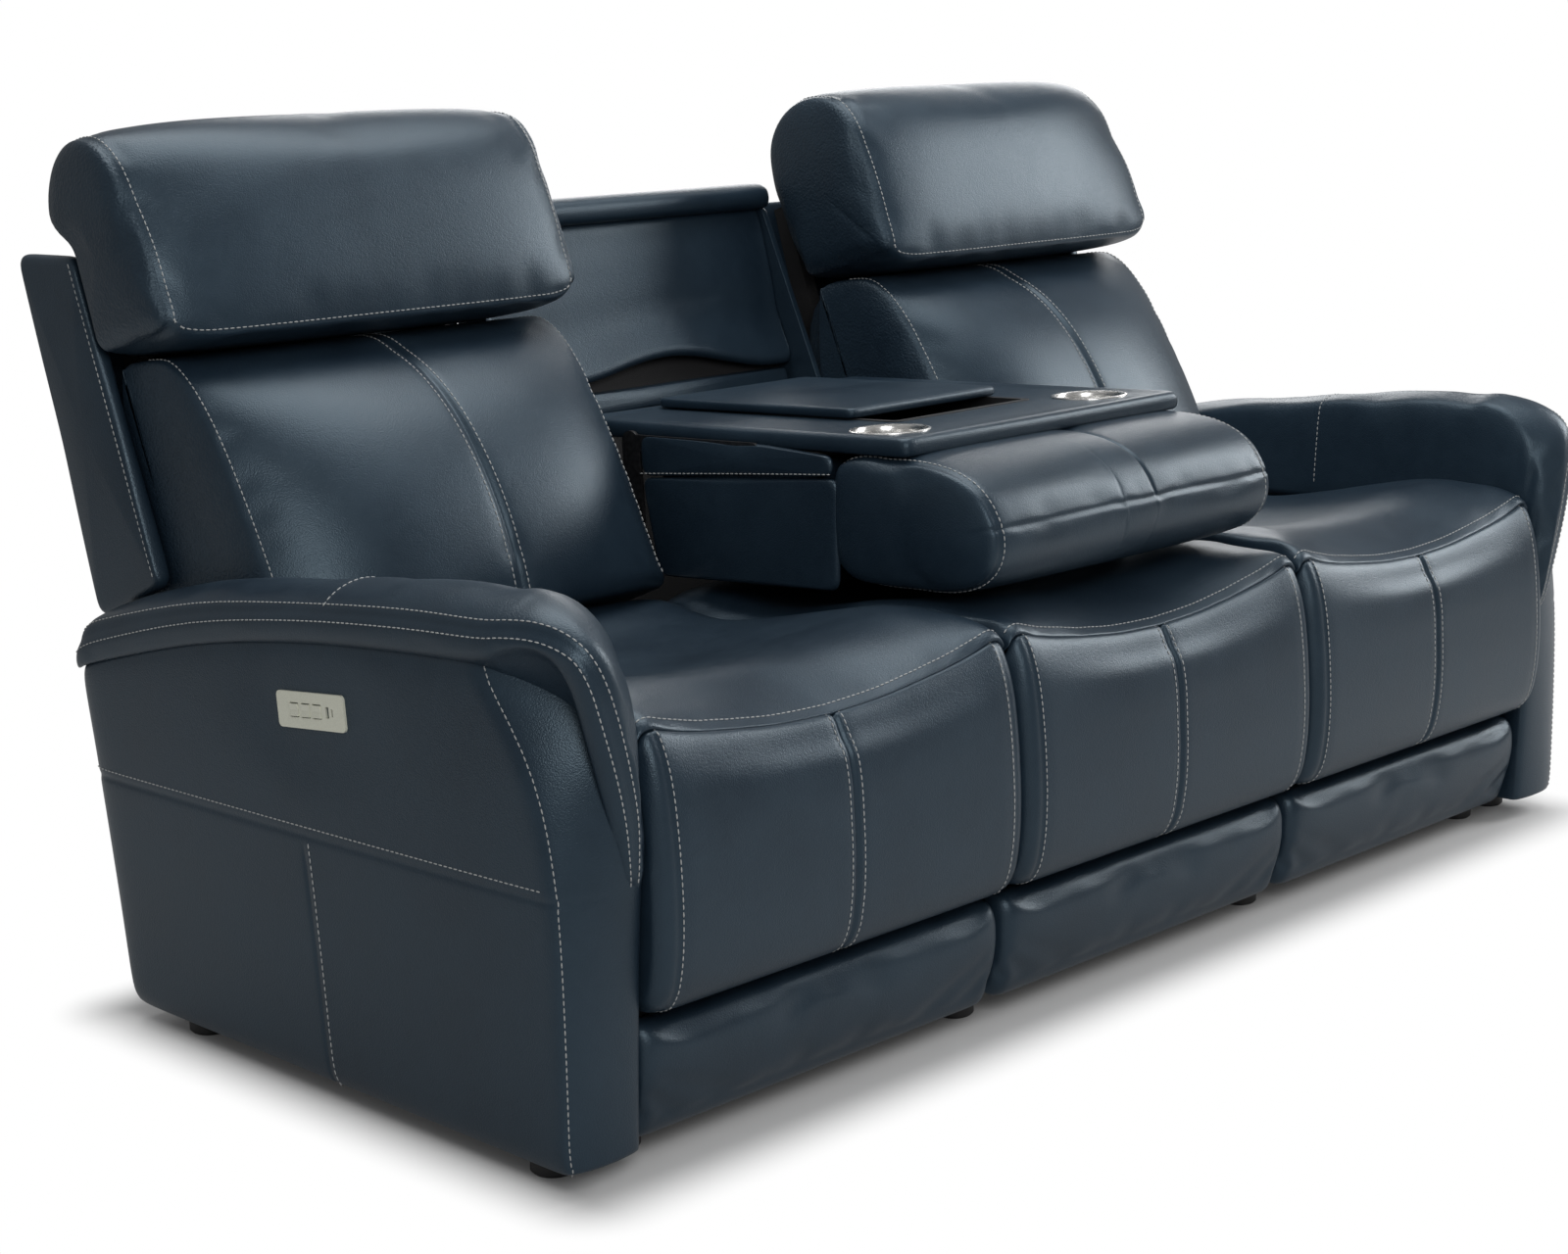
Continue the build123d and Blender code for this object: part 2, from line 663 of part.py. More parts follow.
# Recliners
for side, name in ((-1, "left"), (1, "right")):
    unit = side * seat_pitch

    with BuildPart() as footrest_pad:
        upper_pad(unit)
        for x in (-lug_side - lug_thick - 2, lug_side - 14):
            notch = (knee_y - 15, front + board_back + 5)
            block((unit + x, unit + x + lug_thick + 16), notch, (knee_z - 34, knee_z + 40), Mode.SUBTRACT)
        knee = (knee_y, knee_z)
        rod(side_plane(unit - seat_half), knee, knee_rod + soft_gap, 2 * seat_half, Mode.SUBTRACT)
    finish(footrest_pad, f"{name}_footrest_pad")

    with BuildPart() as footrest_panel:
        lower_panel(unit)
    finish(footrest_panel, f"{name}_footrest_panel")

    lug_pin = (knee_y + link_set, knee_z - link_drop)
    with BuildPart() as footrest_board:
        block((unit - deck_half, unit + deck_half), board_y, board_z)
        rod(side_plane(unit - deck_half + 4), (knee_y, knee_z), knee_rod, 2 * deck_half - 8)
        for x in (-lug_side + 1, lug_side - 11):
            with BuildSketch(side_plane(unit + x)):
                with BuildLine():
                    strap = [(board_y[0], board_z[1]), (board_y[0], board_z[1] - 14)]
                    strap += [(board_y[1], board_z[1] - 14)]
                    strap += [(board_y[1], board_z[1]), (knee_y + 6, knee_z + 11), (knee_y - 8, knee_z + 4)]
                    strap += [(knee_y - 6, knee_z - 9)]
                    Polyline(*strap, close=True)
                make_face()
            extrude(amount=lug_thick)
        for x in (-lug_in - steel, lug_in):
            with BuildSketch(side_plane(unit + x)):
                with Locations(((board_y[1] + lug_pin[0]) / 2, lug_pin[1])):
                    Rectangle(lug_pin[0] - board_y[1], 26)
                with Locations(lug_pin):
                    Circle(13)
                    Circle(pin_radius + open_gap, mode=Mode.SUBTRACT)
            extrude(amount=steel)
    finish(footrest_board, f"{name}_footrest_board")

    crank_pin = (crank_y + link_set, crank_z - link_drop)
    with BuildPart() as drive_crank:
        for x in (-crank_in - steel, crank_in):
            bar(side_plane(unit + x), (crank_y, crank_z), crank_pin, link_width, steel)
        rod(side_plane(unit - crank_in), (crank_y, crank_z), tube_radius, 2 * crank_in)
        bore = 6 + run_gap
        for x in (-crank_in - steel, crank_in - 12):
            rod(side_plane(unit + x), (crank_y, crank_z), bore, steel + 12, Mode.SUBTRACT)
        reach = crank_in - link_in + 1
        for x in (-crank_in, crank_in - reach):
            rod(side_plane(unit + x), crank_pin, pin_radius, reach)
        bar(side_plane(unit - 4), (crank_y, crank_z), lever_tip, 22, 8)
        rod(side_plane(unit - 15), lever_tip, pin_radius, 30)
    finish(drive_crank, f"{name}_drive_crank")

    with BuildPart() as connecting_links:
        for end in (-1, 1):
            x = link_in if end > 0 else -link_in - steel
            bar(side_plane(unit + x), crank_pin, lug_pin, link_width, steel)
            rod(side_plane(unit + x), crank_pin, pin_radius + run_gap, steel, Mode.SUBTRACT)
            reach = link_in - lug_in + 1
            rod(side_plane(unit + (x - reach if end > 0 else x + steel)), lug_pin, pin_radius, reach)
    finish(connecting_links, f"{name}_connecting_links")

    with BuildPart() as footrest_drive:
        drive_block(unit, lever_tip[0], foot_track, fork_low)
    finish(footrest_drive, f"{name}_footrest_drive")

    with BuildPart() as recline_drive:
        drive_block(unit, recline_tip[0], recline_track, recline_tip[1])
    finish(recline_drive, f"{name}_recline_drive")

    # Back shell: rear panel with a wing at its outer side, narrower where it goes down between the arms
    def rear_at(up, thick=0.0):
        """Rear skin of the back at a height along it, or a face that far inside it."""
        return back_rear - back_taper * up - thick

    inner = side * (seat_pitch / 2 + neck_side)
    outer = side * (bay + wing_out)
    neck = side * (bay - neck_side)
    with BuildPart() as back_shell:
        low, high = min(inner, outer), max(inner, outer)
        upper = [(rear_at(163), 163), (rear_at(back_height), back_height)]
        upper += [(rear_at(back_height - 12, shell_thick), back_height - 12)]
        upper += [(rear_at(163, shell_thick), 163)]
        slab(back_plane(low), upper, high - low)
        low, high = min(inner, neck), max(inner, neck)
        lower = [(rear_at(0), 0), (rear_at(163), 163)]
        lower += [(rear_at(163, shell_thick), 163), (rear_at(0, shell_thick), 0)]
        slab(back_plane(low), lower, high - low)
        wing = [(-wing_front, wing_foot), (-wing_front + 10, back_height - 40)]
        wing += [(rear_at(back_height), back_height), (rear_at(163), 163)]
        slab(back_plane(outer if side < 0 else outer - wing_thick), wing, wing_thick)
        skin = back_shell.faces().sort_by(Axis.X)[0 if side < 0 else -1]
        fillet(skin.edges(), 9)
    finish(back_shell, f"{name}_back_shell")

    # Back frame: board box on a torque tube, with a front board behind the cushion and the headrest arms
    stile_x = plate_in - stack_gap - frame_thick
    with BuildPart() as back_frame:
        for x in (-stile_x - frame_thick, stile_x):
            stile = [(-34, -18), (rear_at(-18, shell_thick) - soft_gap, -18)]
            stile += [(rear_at(590, shell_thick) - soft_gap, 590), (-8, 590), (-8, frame_step)]
            stile += [(-frame_front, frame_step), (-frame_front, 60)]
            slab(back_plane(unit + x), stile, frame_thick)
        face = [(-frame_front, 60), (-frame_front + 10, 60)]
        face += [(-frame_front + 10, frame_step), (-frame_front, frame_step)]
        slab(back_plane(unit - stile_x), face, 2 * stile_x)
        ledge = [(-frame_front, frame_step - 18), (-8, frame_step - 18)]
        ledge += [(-8, frame_step), (-frame_front, frame_step)]
        slab(back_plane(unit - stile_x), ledge, 2 * stile_x)
        rail = [(-8, 560), (10, 560), (10, 590), (-8, 590)]
        slab(back_plane(unit - stile_x), rail, 2 * stile_x)
        rod(side_plane(unit - stile_x), (recline_y, recline_z), 15, 2 * stile_x)
        reach = plate_in + steel - stile_x - frame_thick + 3
        for x in (-plate_in - steel - 3, stile_x + frame_thick):
            rod(side_plane(unit + x), (recline_y, recline_z), 7, reach)
        bar(side_plane(unit - 4), (recline_y, recline_z), recline_tip, 24, 8)
        rod(side_plane(unit - 15), recline_tip, pin_radius, 30)
        head = (-head_pivot_front, head_pivot_up)
        for x in (-head_arm_gap / 2 - 8, head_arm_gap / 2):
            arm = [(-frame_front + 30, frame_step), (-frame_front + 30, frame_step + 40)]
            arm += [(head[0], head[1] + 15)]
            arm += [(head[0] - 13, head[1] + 7), (head[0] - 13, head[1] - 7), (head[0], head[1] - 15)]
            arm += [(-frame_front - 4, frame_step + 5), (-frame_front, frame_step)]
            slab(back_plane(unit + x), arm, 8)
            rod(back_plane(unit + x), head, 8 + run_gap / 2, 8, Mode.SUBTRACT)
    finish(back_frame, f"{name}_back_frame")

    # Back cushion: deep lumbar crown, drawn in at its sides, a shallow channel along the middle seam
    cushion_half = seat_half - cushion_side
    crown_rows = mirrored(
        (1, cushion_edge, 0),
        (0.94, cushion_edge + 30, 5),
        (0.62, cushion_crown - 24, 8),
        (0.04, cushion_crown, 8),
        (0, cushion_crown - 8, 6),
    )
    with BuildPart() as back_cushion:
        for share, crown, rise in crown_rows:
            rear = -frame_front - soft_gap - 3
            top = cushion_top + rise - 8
            upper = (-0.42 * crown - 42, top)
            middle = (-0.94 * crown, 170)
            low = (-0.93 * crown, cushion_foot + 14)
            with BuildSketch(back_plane(unit + share * cushion_half)):
                with BuildLine():
                    Line((rear, cushion_foot), (rear, top - 6))
                    Line((rear, top - 6), upper)
                    ThreePointArc(upper, (-0.76 * crown - 20, 300), middle)
                    ThreePointArc(middle, (-0.985 * crown, 95), low)
                    ThreePointArc(low, (low[0] + 8, cushion_foot + 4), (low[0] + 26, cushion_foot))
                    Line((low[0] + 26, cushion_foot), (rear, cushion_foot))
                make_face()
        loft(ruled=True)
    finish(back_cushion, f"{name}_back_cushion")

    # Headrest: soft roll rounded about its pivot, on a tubular motor held by the back frame's arms
    with BuildPart() as headrest_motor:
        run = head_arm_gap / 2 - soft_gap
        rod(back_plane(unit - run), head, motor_radius, 2 * run)
        for x in (-head_arm_gap / 2 - 10, run):
            rod(back_plane(unit + x), head, 8, head_arm_gap / 2 + 10 - run)
    finish(headrest_motor, f"{name}_headrest_motor")

    collar = motor_radius + 6
    paddle_end = (-head_pivot_front + 55, head_pivot_up + 165)
    with BuildPart() as headrest_bracket:
        for x in (-102, 78):
            rod(back_plane(unit + x), head, collar, 24)
            bar(back_plane(unit + x + 9), head, paddle_end, 40, 6)
            rod(back_plane(unit + x), head, motor_radius + run_gap, 24, Mode.SUBTRACT)
    finish(headrest_bracket, f"{name}_headrest_bracket")

    head_far = bay + wing_out - wing_thick - head_wing
    head_near = seat_pitch / 2 + head_inner
    head_middle = side * (head_far + head_near) / 2
    head_half = (head_far - head_near) / 2
    with BuildPart() as headrest_cushion:
        for share, inset in mirrored((1, 24), (0.965, 9), (0.9, 2), (0, 0)):
            radius = head_round - inset
            base = (head[0], head[1] - radius)
            nose = (head[0] - radius, head[1])
            brow = (head[0] - head_round + 6 + inset, head_top - 42 - inset / 2)
            crown = (-72, head_top - 14 - inset)
            nape = (-head_rear, head_top - 108 - inset / 2)
            with BuildSketch(back_plane(head_middle + share * head_half)):
                with BuildLine():
                    diagonal = radius * math.sqrt(0.5)
                    Line((-50 - inset / 2, head_pivot_up - 22 + inset / 2), base)
                    ThreePointArc(base, (head[0] - diagonal, head[1] - diagonal), nose)
                    ThreePointArc(nose, (head[0] - head_round - head_swell + inset, head[1] + 100), brow)
                    ThreePointArc(brow, (-150, head_top - 1 - inset), crown)
                    ThreePointArc(crown, (-36 - inset / 3, head_top - 52 - inset), nape)
                    Line(nape, (-50 - inset / 2, head_pivot_up - 22 + inset / 2))
                make_face()
        loft(ruled=True)
        room = head_arm_gap / 2 + 12
        rod(back_plane(unit - room), head, collar + 2, 2 * room, Mode.SUBTRACT)
        for x in (-head_arm_gap / 2 - 11, head_arm_gap / 2 - 3):
            way = [(head[0] - 20, head[1] + 20), (head[0] - 20, head[1] - 60)]
            way += [(0, head[1] - 60), (0, head[1] + 20)]
            slab(back_plane(unit + x), way, 14, Mode.SUBTRACT)
        for x in (-102, 78):
            with BuildSketch(back_plane(unit + x + 9 - soft_gap)):
                run = math.dist(head, paddle_end)
                turn = math.degrees(math.atan2(paddle_end[1] - head[1], paddle_end[0] - head[0]))
                with Locations(((head[0] + paddle_end[0]) / 2, (head[1] + paddle_end[1]) / 2)):
                    SlotCenterToCenter(run, 40 + 2 * soft_gap, rotation=turn)
            extrude(amount=6 + 2 * soft_gap, mode=Mode.SUBTRACT)
    finish(headrest_cushion, f"{name}_headrest_cushion")


# Recess behind the table: rear panel, cheeks that also carry the table's pivots, top rail
def recess_face(z):
    """Y of the rear panel's front face at a height."""
    return front + recess_back + recess_slope * (z - recess_z)


cheek_in = seat_pitch / 2 + neck_side - unit_gap - cheek_thick
panel_low = foot_height
with BuildPart() as console_back:
    outline = [(recess_face(panel_low), panel_low), (recess_face(panel_low) + recess_thick, panel_low)]
    outline += [(recess_face(recess_top) + recess_thick, recess_top), (recess_face(recess_top), recess_top)]
    slab(side_plane(soft_gap - cheek_in), outline, 2 * (cheek_in - soft_gap))
    cleat = [(rail_rear + rail_width / 2, panel_low), (recess_face(panel_low) + 2, panel_low)]
    cleat += [(recess_face(rail_top) + 2, rail_top), (rail_rear + rail_width / 2, rail_top)]
    slab(side_plane(soft_gap - cheek_in), cleat, 2 * (cheek_in - soft_gap))
finish(console_back, "console_back_panel")

hinge_y = front + hinge_back
with BuildPart() as console_cheeks:
    outline = [(rail_rear - rail_width / 2 + 2, rail_top), (rail_rear + rail_width / 2 + 40, rail_top)]
    outline += [(recess_face(rail_top + 40) + recess_thick, rail_top + 40)]
    outline += [(recess_face(recess_top) + recess_thick, recess_top)]
    outline += [(recess_face(recess_top) - 12, recess_top)]
    outline += [(front + recess_back - 14, 0.7 * recess_top)]
    outline += [(hinge_y + 40, hinge_z + 50), (hinge_y - 14, hinge_z + 24)]
    outline += [(hinge_y - 14, hinge_z - 40), (rail_rear - rail_width / 2 + 2, hinge_z - 110)]
    for x in (-cheek_in - cheek_thick, cheek_in):
        slab(side_plane(x), outline, cheek_thick)
finish(console_cheeks, "console_cheeks")

with BuildPart() as top_rail:
    half = cheek_in + cheek_thick
    depth = (front + top_rail_front, front + top_rail_front + top_rail_depth)
    block((-half, half), depth, (recess_top + soft_gap, recess_top + soft_gap + top_rail_height))
    fillet(top_rail.edges().filter_by(Axis.X), 12)
finish(top_rail, "console_top_rail")

# Skirts close the rear below the outer backs
skirt_back = 98.0  # from the rear rail's middle to the skirt's rear face
with BuildPart() as skirts:
    slope = 0.151
    top = recline_z - 85
    rear = rail_rear + skirt_back
    outline = [(rear - 14, foot_height), (rear, foot_height)]
    outline += [(rear + slope * (top - foot_height), top), (rear - 14 + slope * (top - foot_height), top)]
    for side in (-1, 1):
        near = side * (cheek_in + cheek_thick + soft_gap)
        far = side * (bay - soft_gap)
        slab(side_plane(min(near, far)), outline, abs(far - near))
finish(skirts, "rear_skirts")

pivot_plate = 4.5
arm_in = tray_half + 3
with BuildPart() as pivots:
    for side in (-1, 1):
        x = cheek_in - soft_gap / 2 - pivot_plate
        low = x if side > 0 else -x - pivot_plate
        with BuildSketch(side_plane(low)):
            with Locations((hinge_y + 4, hinge_z - 4)):
                RectangleRounded(34, 52, 8)
        extrude(amount=pivot_plate)
        reach = x - arm_in + 3
        rod(side_plane(low - reach if side > 0 else low + pivot_plate), (hinge_y, hinge_z), 7, reach)
finish(pivots, "table_pivots")

# Table: steel cradle with hinge arms, tray, back cushion, bolster, cups, bin and lid
arm_steel = 5.5
elbow = (cradle_rear + 22, -tray_thick - soft_gap - cradle_thick / 2)
with BuildPart() as cradle:
    with BuildSketch(tray_top(-tray_thick - cradle_thick)):
        with Locations((0, (bin_front - 4 + cradle_rear) / 2)):
            Rectangle(2 * arm_in, cradle_rear - bin_front + 4)
        with Locations((0, (bin_front + bin_rear) / 2)):
            Rectangle(2 * bin_half + 2, bin_rear - bin_front + 2, mode=Mode.SUBTRACT)
    extrude(amount=cradle_thick)
    for x in (-arm_in - arm_steel, arm_in):
        bar(tray_side(x), elbow, (cradle_rear - 210, elbow[1]), 22, arm_steel)
        origin = tray_side(x)
        hinge = origin.to_local_coords(Vector(x, hinge_y, hinge_z))
        bar(tray_side(x), (hinge.X, hinge.Y), elbow, 32, arm_steel)
        rod(side_plane(x), (hinge_y, hinge_z), 7 + run_gap, arm_steel, Mode.SUBTRACT)
finish(cradle, "table_cradle")

lid_low = 2.4
lid_axis = lid_low + lid_thick / 2
ear_in = 104.0
with BuildPart() as tray:
    with BuildSketch(tray_top(-tray_thick)):
        with Locations((0, tray_length / 2)):
            RectangleRounded(2 * tray_half, tray_length, 14)
        with Locations((-cup_side, cup_back), (cup_side, cup_back)):
            Circle(cup_radius + cup_room, mode=Mode.SUBTRACT)
        with Locations((0, (bin_front + bin_rear) / 2)):
            hole = (2 * (bin_half + bin_room), bin_rear - bin_front + 2 * bin_room)
            RectangleRounded(*hole, 10, mode=Mode.SUBTRACT)
    extrude(amount=tray_thick)
    for x in (-ear_in - 20, ear_in):
        ear = [(lid_hinge - 9, 0), (lid_hinge + 9, 0)]
        ear += [(lid_hinge + 7, lid_axis + 6), (lid_hinge - 7, lid_axis + 6)]
        slab(tray_side(x), ear, 20)
        rod(tray_side(x), (lid_hinge, lid_axis), 3.5 + run_gap, 20, Mode.SUBTRACT)
finish(tray, "table_tray")

with BuildPart() as table_cushion:
    top = -tray_thick - cradle_thick - soft_gap
    for share, inset in mirrored((1, 14), (0.95, 3), (0, 0)):
        foot = inset - table_foot
        near, far = bin_front + inset / 2, cradle_rear - 14 - inset / 2
        with BuildSketch(tray_side(share * (tray_half - 2))):
            with BuildLine():
                Line((near, top), (near, foot + 40))
                ThreePointArc((near, foot + 40), (near + 8, foot + 16), (near + 32, foot + 5))
                ThreePointArc((near + 32, foot + 5), ((near + far) / 2, foot - 1), (far - 32, foot + 5))
                ThreePointArc((far - 32, foot + 5), (far - 8, foot + 16), (far, foot + 40))
                Line((far, foot + 40), (far, top))
                Line((far, top), (near, top))
            make_face()
    loft(ruled=True)
    with BuildSketch(tray_top(-bin_depth - 1)):
        with Locations((0, (bin_front + bin_rear) / 2 - 10)):
            Rectangle(2 * bin_half + 2, bin_rear - bin_front + 22)
    extrude(amount=bin_depth + 1, mode=Mode.SUBTRACT)
finish(table_cushion, "table_cushion")

with BuildPart() as bolster:
    near = bin_front - 17 - bolster_length
    far = bin_front - 17
    for share, inset in mirrored((1, 18), (0.97, 6), (0.92, 0)):
        top = -tray_thick - soft_gap - 1 - inset
        foot = top + inset - bolster_height + inset
        nose = (near + inset, (top + foot) / 2)
        with BuildSketch(tray_side(share * bolster_half)):
            with BuildLine():
                Line((far - inset, top), (near + 78, top))
                ThreePointArc((near + 78, top), (near + 22 + inset, top - 24 + inset / 3), nose)
                ThreePointArc(nose, (near + 22 + inset, foot + 24 - inset / 3), (near + 78, foot))
                Line((near + 78, foot), (far - 34, foot))
                ThreePointArc((far - 34, foot), (far - 10 - inset, foot + 10), (far - inset, foot + 40))
                Line((far - inset, foot + 40), (far - inset, top))
            make_face()
    loft(ruled=True)
    with BuildSketch(tray_top(-cup_depth - 1)):
        notch = far - cup_back + cup_radius + cup_room
        with Locations(*[(s * cup_side, far - notch / 2) for s in (-1, 1)]):
            Rectangle(2 * (cup_radius + cup_room), notch)
    extrude(amount=cup_depth + 1, mode=Mode.SUBTRACT)
finish(bolster, "table_bolster")

with BuildPart() as cups:
    with BuildSketch(tray_top(-cup_depth)):
        with Locations((-cup_side, cup_back), (cup_side, cup_back)):
            Circle(cup_radius)
    extrude(amount=cup_depth)
    with BuildSketch(tray_top(0)):
        with Locations((-cup_side, cup_back), (cup_side, cup_back)):
            Circle(cup_radius + 8)
    extrude(amount=2.5)
    with BuildSketch(tray_top(cup_wall - cup_depth)):
        with Locations((-cup_side, cup_back), (cup_side, cup_back)):
            Circle(cup_radius - cup_wall)
    extrude(amount=cup_depth + 10, mode=Mode.SUBTRACT)
finish(cups, "cup_holders")

with BuildPart() as storage:
    outer_x = 2 * (bin_half - soft_gap)
    outer_y = bin_rear - bin_front - 2 * soft_gap
    middle = (bin_front + bin_rear) / 2
    with BuildSketch(tray_top(-bin_depth)):
        with Locations((0, middle)):
            RectangleRounded(outer_x, outer_y, 9.6)
    extrude(amount=bin_depth)
    with BuildSketch(tray_top(0)):
        with Locations((0, middle)):
            RectangleRounded(outer_x + 14, outer_y + 14, 14)
    extrude(amount=1.6)
    with BuildSketch(tray_top(bin_wall - bin_depth)):
        with Locations((0, middle)):
            RectangleRounded(outer_x - 2 * bin_wall, outer_y - 2 * bin_wall, 7)
    extrude(amount=bin_depth + 10, mode=Mode.SUBTRACT)
finish(storage, "storage_bin")

with BuildPart() as lid:
    with BuildSketch(tray_top(lid_low)):
        with Locations((0, (lid_front + lid_hinge - 13) / 2)):
            RectangleRounded(2 * lid_half, lid_hinge - 13 - lid_front, 10)
    extrude(amount=lid_thick)
    fillet(lid.faces().sort_by(Axis.Z)[-1].edges(), 5)
    with BuildSketch(tray_top(lid_low + 1)):
        with Locations((0, lid_hinge - 8)):
            Rectangle(2 * ear_in - 6, 16)
    extrude(amount=lid_thick - 6)
    rod(tray_side(3 - ear_in), (lid_hinge, lid_axis), lid_thick / 2 - 0.5, 2 * ear_in - 6)
    rod(tray_side(-ear_in - 18), (lid_hinge, lid_axis), 3.5, 2 * ear_in + 36)
finish(lid, "storage_lid")
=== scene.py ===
# %% [markdown]
# # A three-seat power reclining sofa in navy leather
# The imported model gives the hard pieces, the joints and the place of every cushion. This lesson dresses it: each
# padded piece is skinned row by row, puffed up with cloth, sewn with real stitches, and given a leather made of nodes.

# %% Load the frame
import json
import math

import bpy
import bmesh
import numpy as np
from mathutils import Matrix, Vector


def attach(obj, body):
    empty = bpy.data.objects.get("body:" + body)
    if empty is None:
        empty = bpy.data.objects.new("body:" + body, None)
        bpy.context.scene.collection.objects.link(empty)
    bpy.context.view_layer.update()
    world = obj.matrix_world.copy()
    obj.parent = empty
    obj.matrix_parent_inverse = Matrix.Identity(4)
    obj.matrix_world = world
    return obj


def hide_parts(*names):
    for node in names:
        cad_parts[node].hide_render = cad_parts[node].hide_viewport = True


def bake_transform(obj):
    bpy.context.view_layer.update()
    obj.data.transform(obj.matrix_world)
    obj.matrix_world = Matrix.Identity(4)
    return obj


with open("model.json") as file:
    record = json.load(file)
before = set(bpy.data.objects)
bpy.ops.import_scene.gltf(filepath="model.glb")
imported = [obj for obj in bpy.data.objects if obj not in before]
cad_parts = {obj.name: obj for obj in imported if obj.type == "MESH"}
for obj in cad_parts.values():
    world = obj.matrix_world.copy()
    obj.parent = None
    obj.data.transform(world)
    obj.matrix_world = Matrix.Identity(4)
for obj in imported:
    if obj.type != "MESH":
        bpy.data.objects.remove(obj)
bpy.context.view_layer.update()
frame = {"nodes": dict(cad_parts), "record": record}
FRONT = -512.3  # Y of the lower front panels in millimetres, as in the part's source
SEAT_PITCH = 614.0

# %% [markdown]
# ## Camera
# The photograph was taken from the sofa's front left, a little above the backs, with a long lens. The place and the
# lens come from lining up the corners of the model with the same corners in the photograph.

# %% Camera
def make_camera():
    """Camera at the photograph's place, with no shift."""
    data = bpy.data.cameras.new("photo_camera")
    data.sensor_width = 36.0
    data.lens = 2917.08 / 1600.0 * 36.0
    data.clip_end = 60.0
    camera = bpy.data.objects.new("photo_camera", data)
    bpy.context.scene.collection.objects.link(camera)
    yaw, pitch, roll = (math.radians(a) for a in (-45.94, -12.57, -0.53))
    ahead = Vector((-math.sin(yaw) * math.cos(pitch), math.cos(yaw) * math.cos(pitch), math.sin(pitch)))
    side = ahead.cross(Vector((0, 0, 1))).normalized()
    up = side.cross(ahead)
    right = math.cos(roll) * side + math.sin(roll) * up
    up = math.cos(roll) * up - math.sin(roll) * side
    camera.matrix_world = Matrix(
        ((right.x, up.x, -ahead.x, -2.89775), (right.y, up.y, -ahead.y, (-2137.62 + FRONT) / 1000),
         (right.z, up.z, -ahead.z, 1.25785), (0, 0, 0, 1)))
    bpy.context.scene.camera = camera
    return camera


camera = make_camera()
bpy.context.scene.view_settings.view_transform = "Standard"
print("camera lens", round(camera.data.lens, 1), "mm")

# %% [markdown]
# ## Finishes
# The hide is a navy semi-gloss leather: a fine pebble grain, a little mottling where the dye took unevenly, and a
# roughness that rises and falls with the mottling. Grain and mottling are one node group, so the plainer sides can use
# a coarser grain.

# %% Node helpers
def group_tree(name, inputs, outputs):
    """Empty shader node group with named sockets."""
    tree = bpy.data.node_groups.new(name, "ShaderNodeTree")
    for label, kind, value in inputs:
        socket = tree.interface.new_socket(label, in_out="INPUT", socket_type=kind)
        socket.default_value = value
    for label, kind in outputs:
        tree.interface.new_socket(label, in_out="OUTPUT", socket_type=kind)
    return tree, tree.nodes.new("NodeGroupInput"), tree.nodes.new("NodeGroupOutput")


def math_node(tree, operation, a, b=None):
    """Math node whose operands are sockets or numbers."""
    node = tree.nodes.new("ShaderNodeMath")
    node.operation = operation
    for i, value in enumerate((a, b)):
        if value is None:
            continue
        if isinstance(value, (int, float)):
            node.inputs[i].default_value = value
        else:
            tree.links.new(value, node.inputs[i])
    return node.outputs[0]


def texture(tree, kind, vector, **values):
    """Texture node on a vector socket, with its inputs by name."""
    node = tree.nodes.new(kind)
    tree.links.new(vector, node.inputs["Vector"])
    for label, value in values.items():
        socket = node.inputs[label.replace("_", " ")]
        if hasattr(value, "links"):
            tree.links.new(value, socket)
        else:
            socket.default_value = value
    return node


def leather_grain():
    """Pebbled hide: height for the bump, a mottle from 0 to 1, and the roughness it makes."""
    tree, entry, leave = group_tree(
        "hide_grain",
        [("Vector", "NodeSocketVector", (0, 0, 0)), ("Pebble", "NodeSocketFloat", 520.0),
         ("Crease", "NodeSocketFloat", 0.5), ("Sheen", "NodeSocketFloat", 0.4)],
        [("Height", "NodeSocketFloat"), ("Mottle", "NodeSocketFloat"), ("Roughness", "NodeSocketFloat")])
    vector = entry.outputs["Vector"]
    pebble = texture(tree, "ShaderNodeTexVoronoi", vector, Scale=entry.outputs["Pebble"], Randomness=1.0)
    pebble.feature = "SMOOTH_F1"
    fine = texture(tree, "ShaderNodeTexNoise", vector, Scale=1500.0, Detail=2.0)
    crease = texture(tree, "ShaderNodeTexNoise", vector, Scale=38.0, Detail=5.0, Roughness=0.62, Distortion=1.2)
    slow = texture(tree, "ShaderNodeTexNoise", vector, Scale=7.0, Detail=4.0, Roughness=0.6)
    line = math_node(tree, "ABSOLUTE", math_node(tree, "SUBTRACT", crease.outputs["Fac"], 0.5))
    line = math_node(tree, "MINIMUM", math_node(tree, "MULTIPLY", line, 9.0), 1.0)
    line = math_node(tree, "MULTIPLY", line, entry.outputs["Crease"])
    height = math_node(tree, "MULTIPLY", pebble.outputs["Distance"], -0.9)
    height = math_node(tree, "ADD", height, math_node(tree, "MULTIPLY", fine.outputs["Fac"], 0.25))
    height = math_node(tree, "ADD", height, math_node(tree, "MULTIPLY", line, 0.35))
    tree.links.new(height, leave.inputs["Height"])
    mottle = math_node(tree, "ADD", math_node(tree, "MULTIPLY", slow.outputs["Fac"], 0.75),
                       math_node(tree, "MULTIPLY", crease.outputs["Fac"], 0.25))
    tree.links.new(mottle, leave.inputs["Mottle"])
    rough = math_node(tree, "ADD", entry.outputs["Sheen"],
                      math_node(tree, "MULTIPLY", math_node(tree, "SUBTRACT", mottle, 0.5), 0.22))
    tree.links.new(rough, leave.inputs["Roughness"])
    return tree


GRAIN = leather_grain()


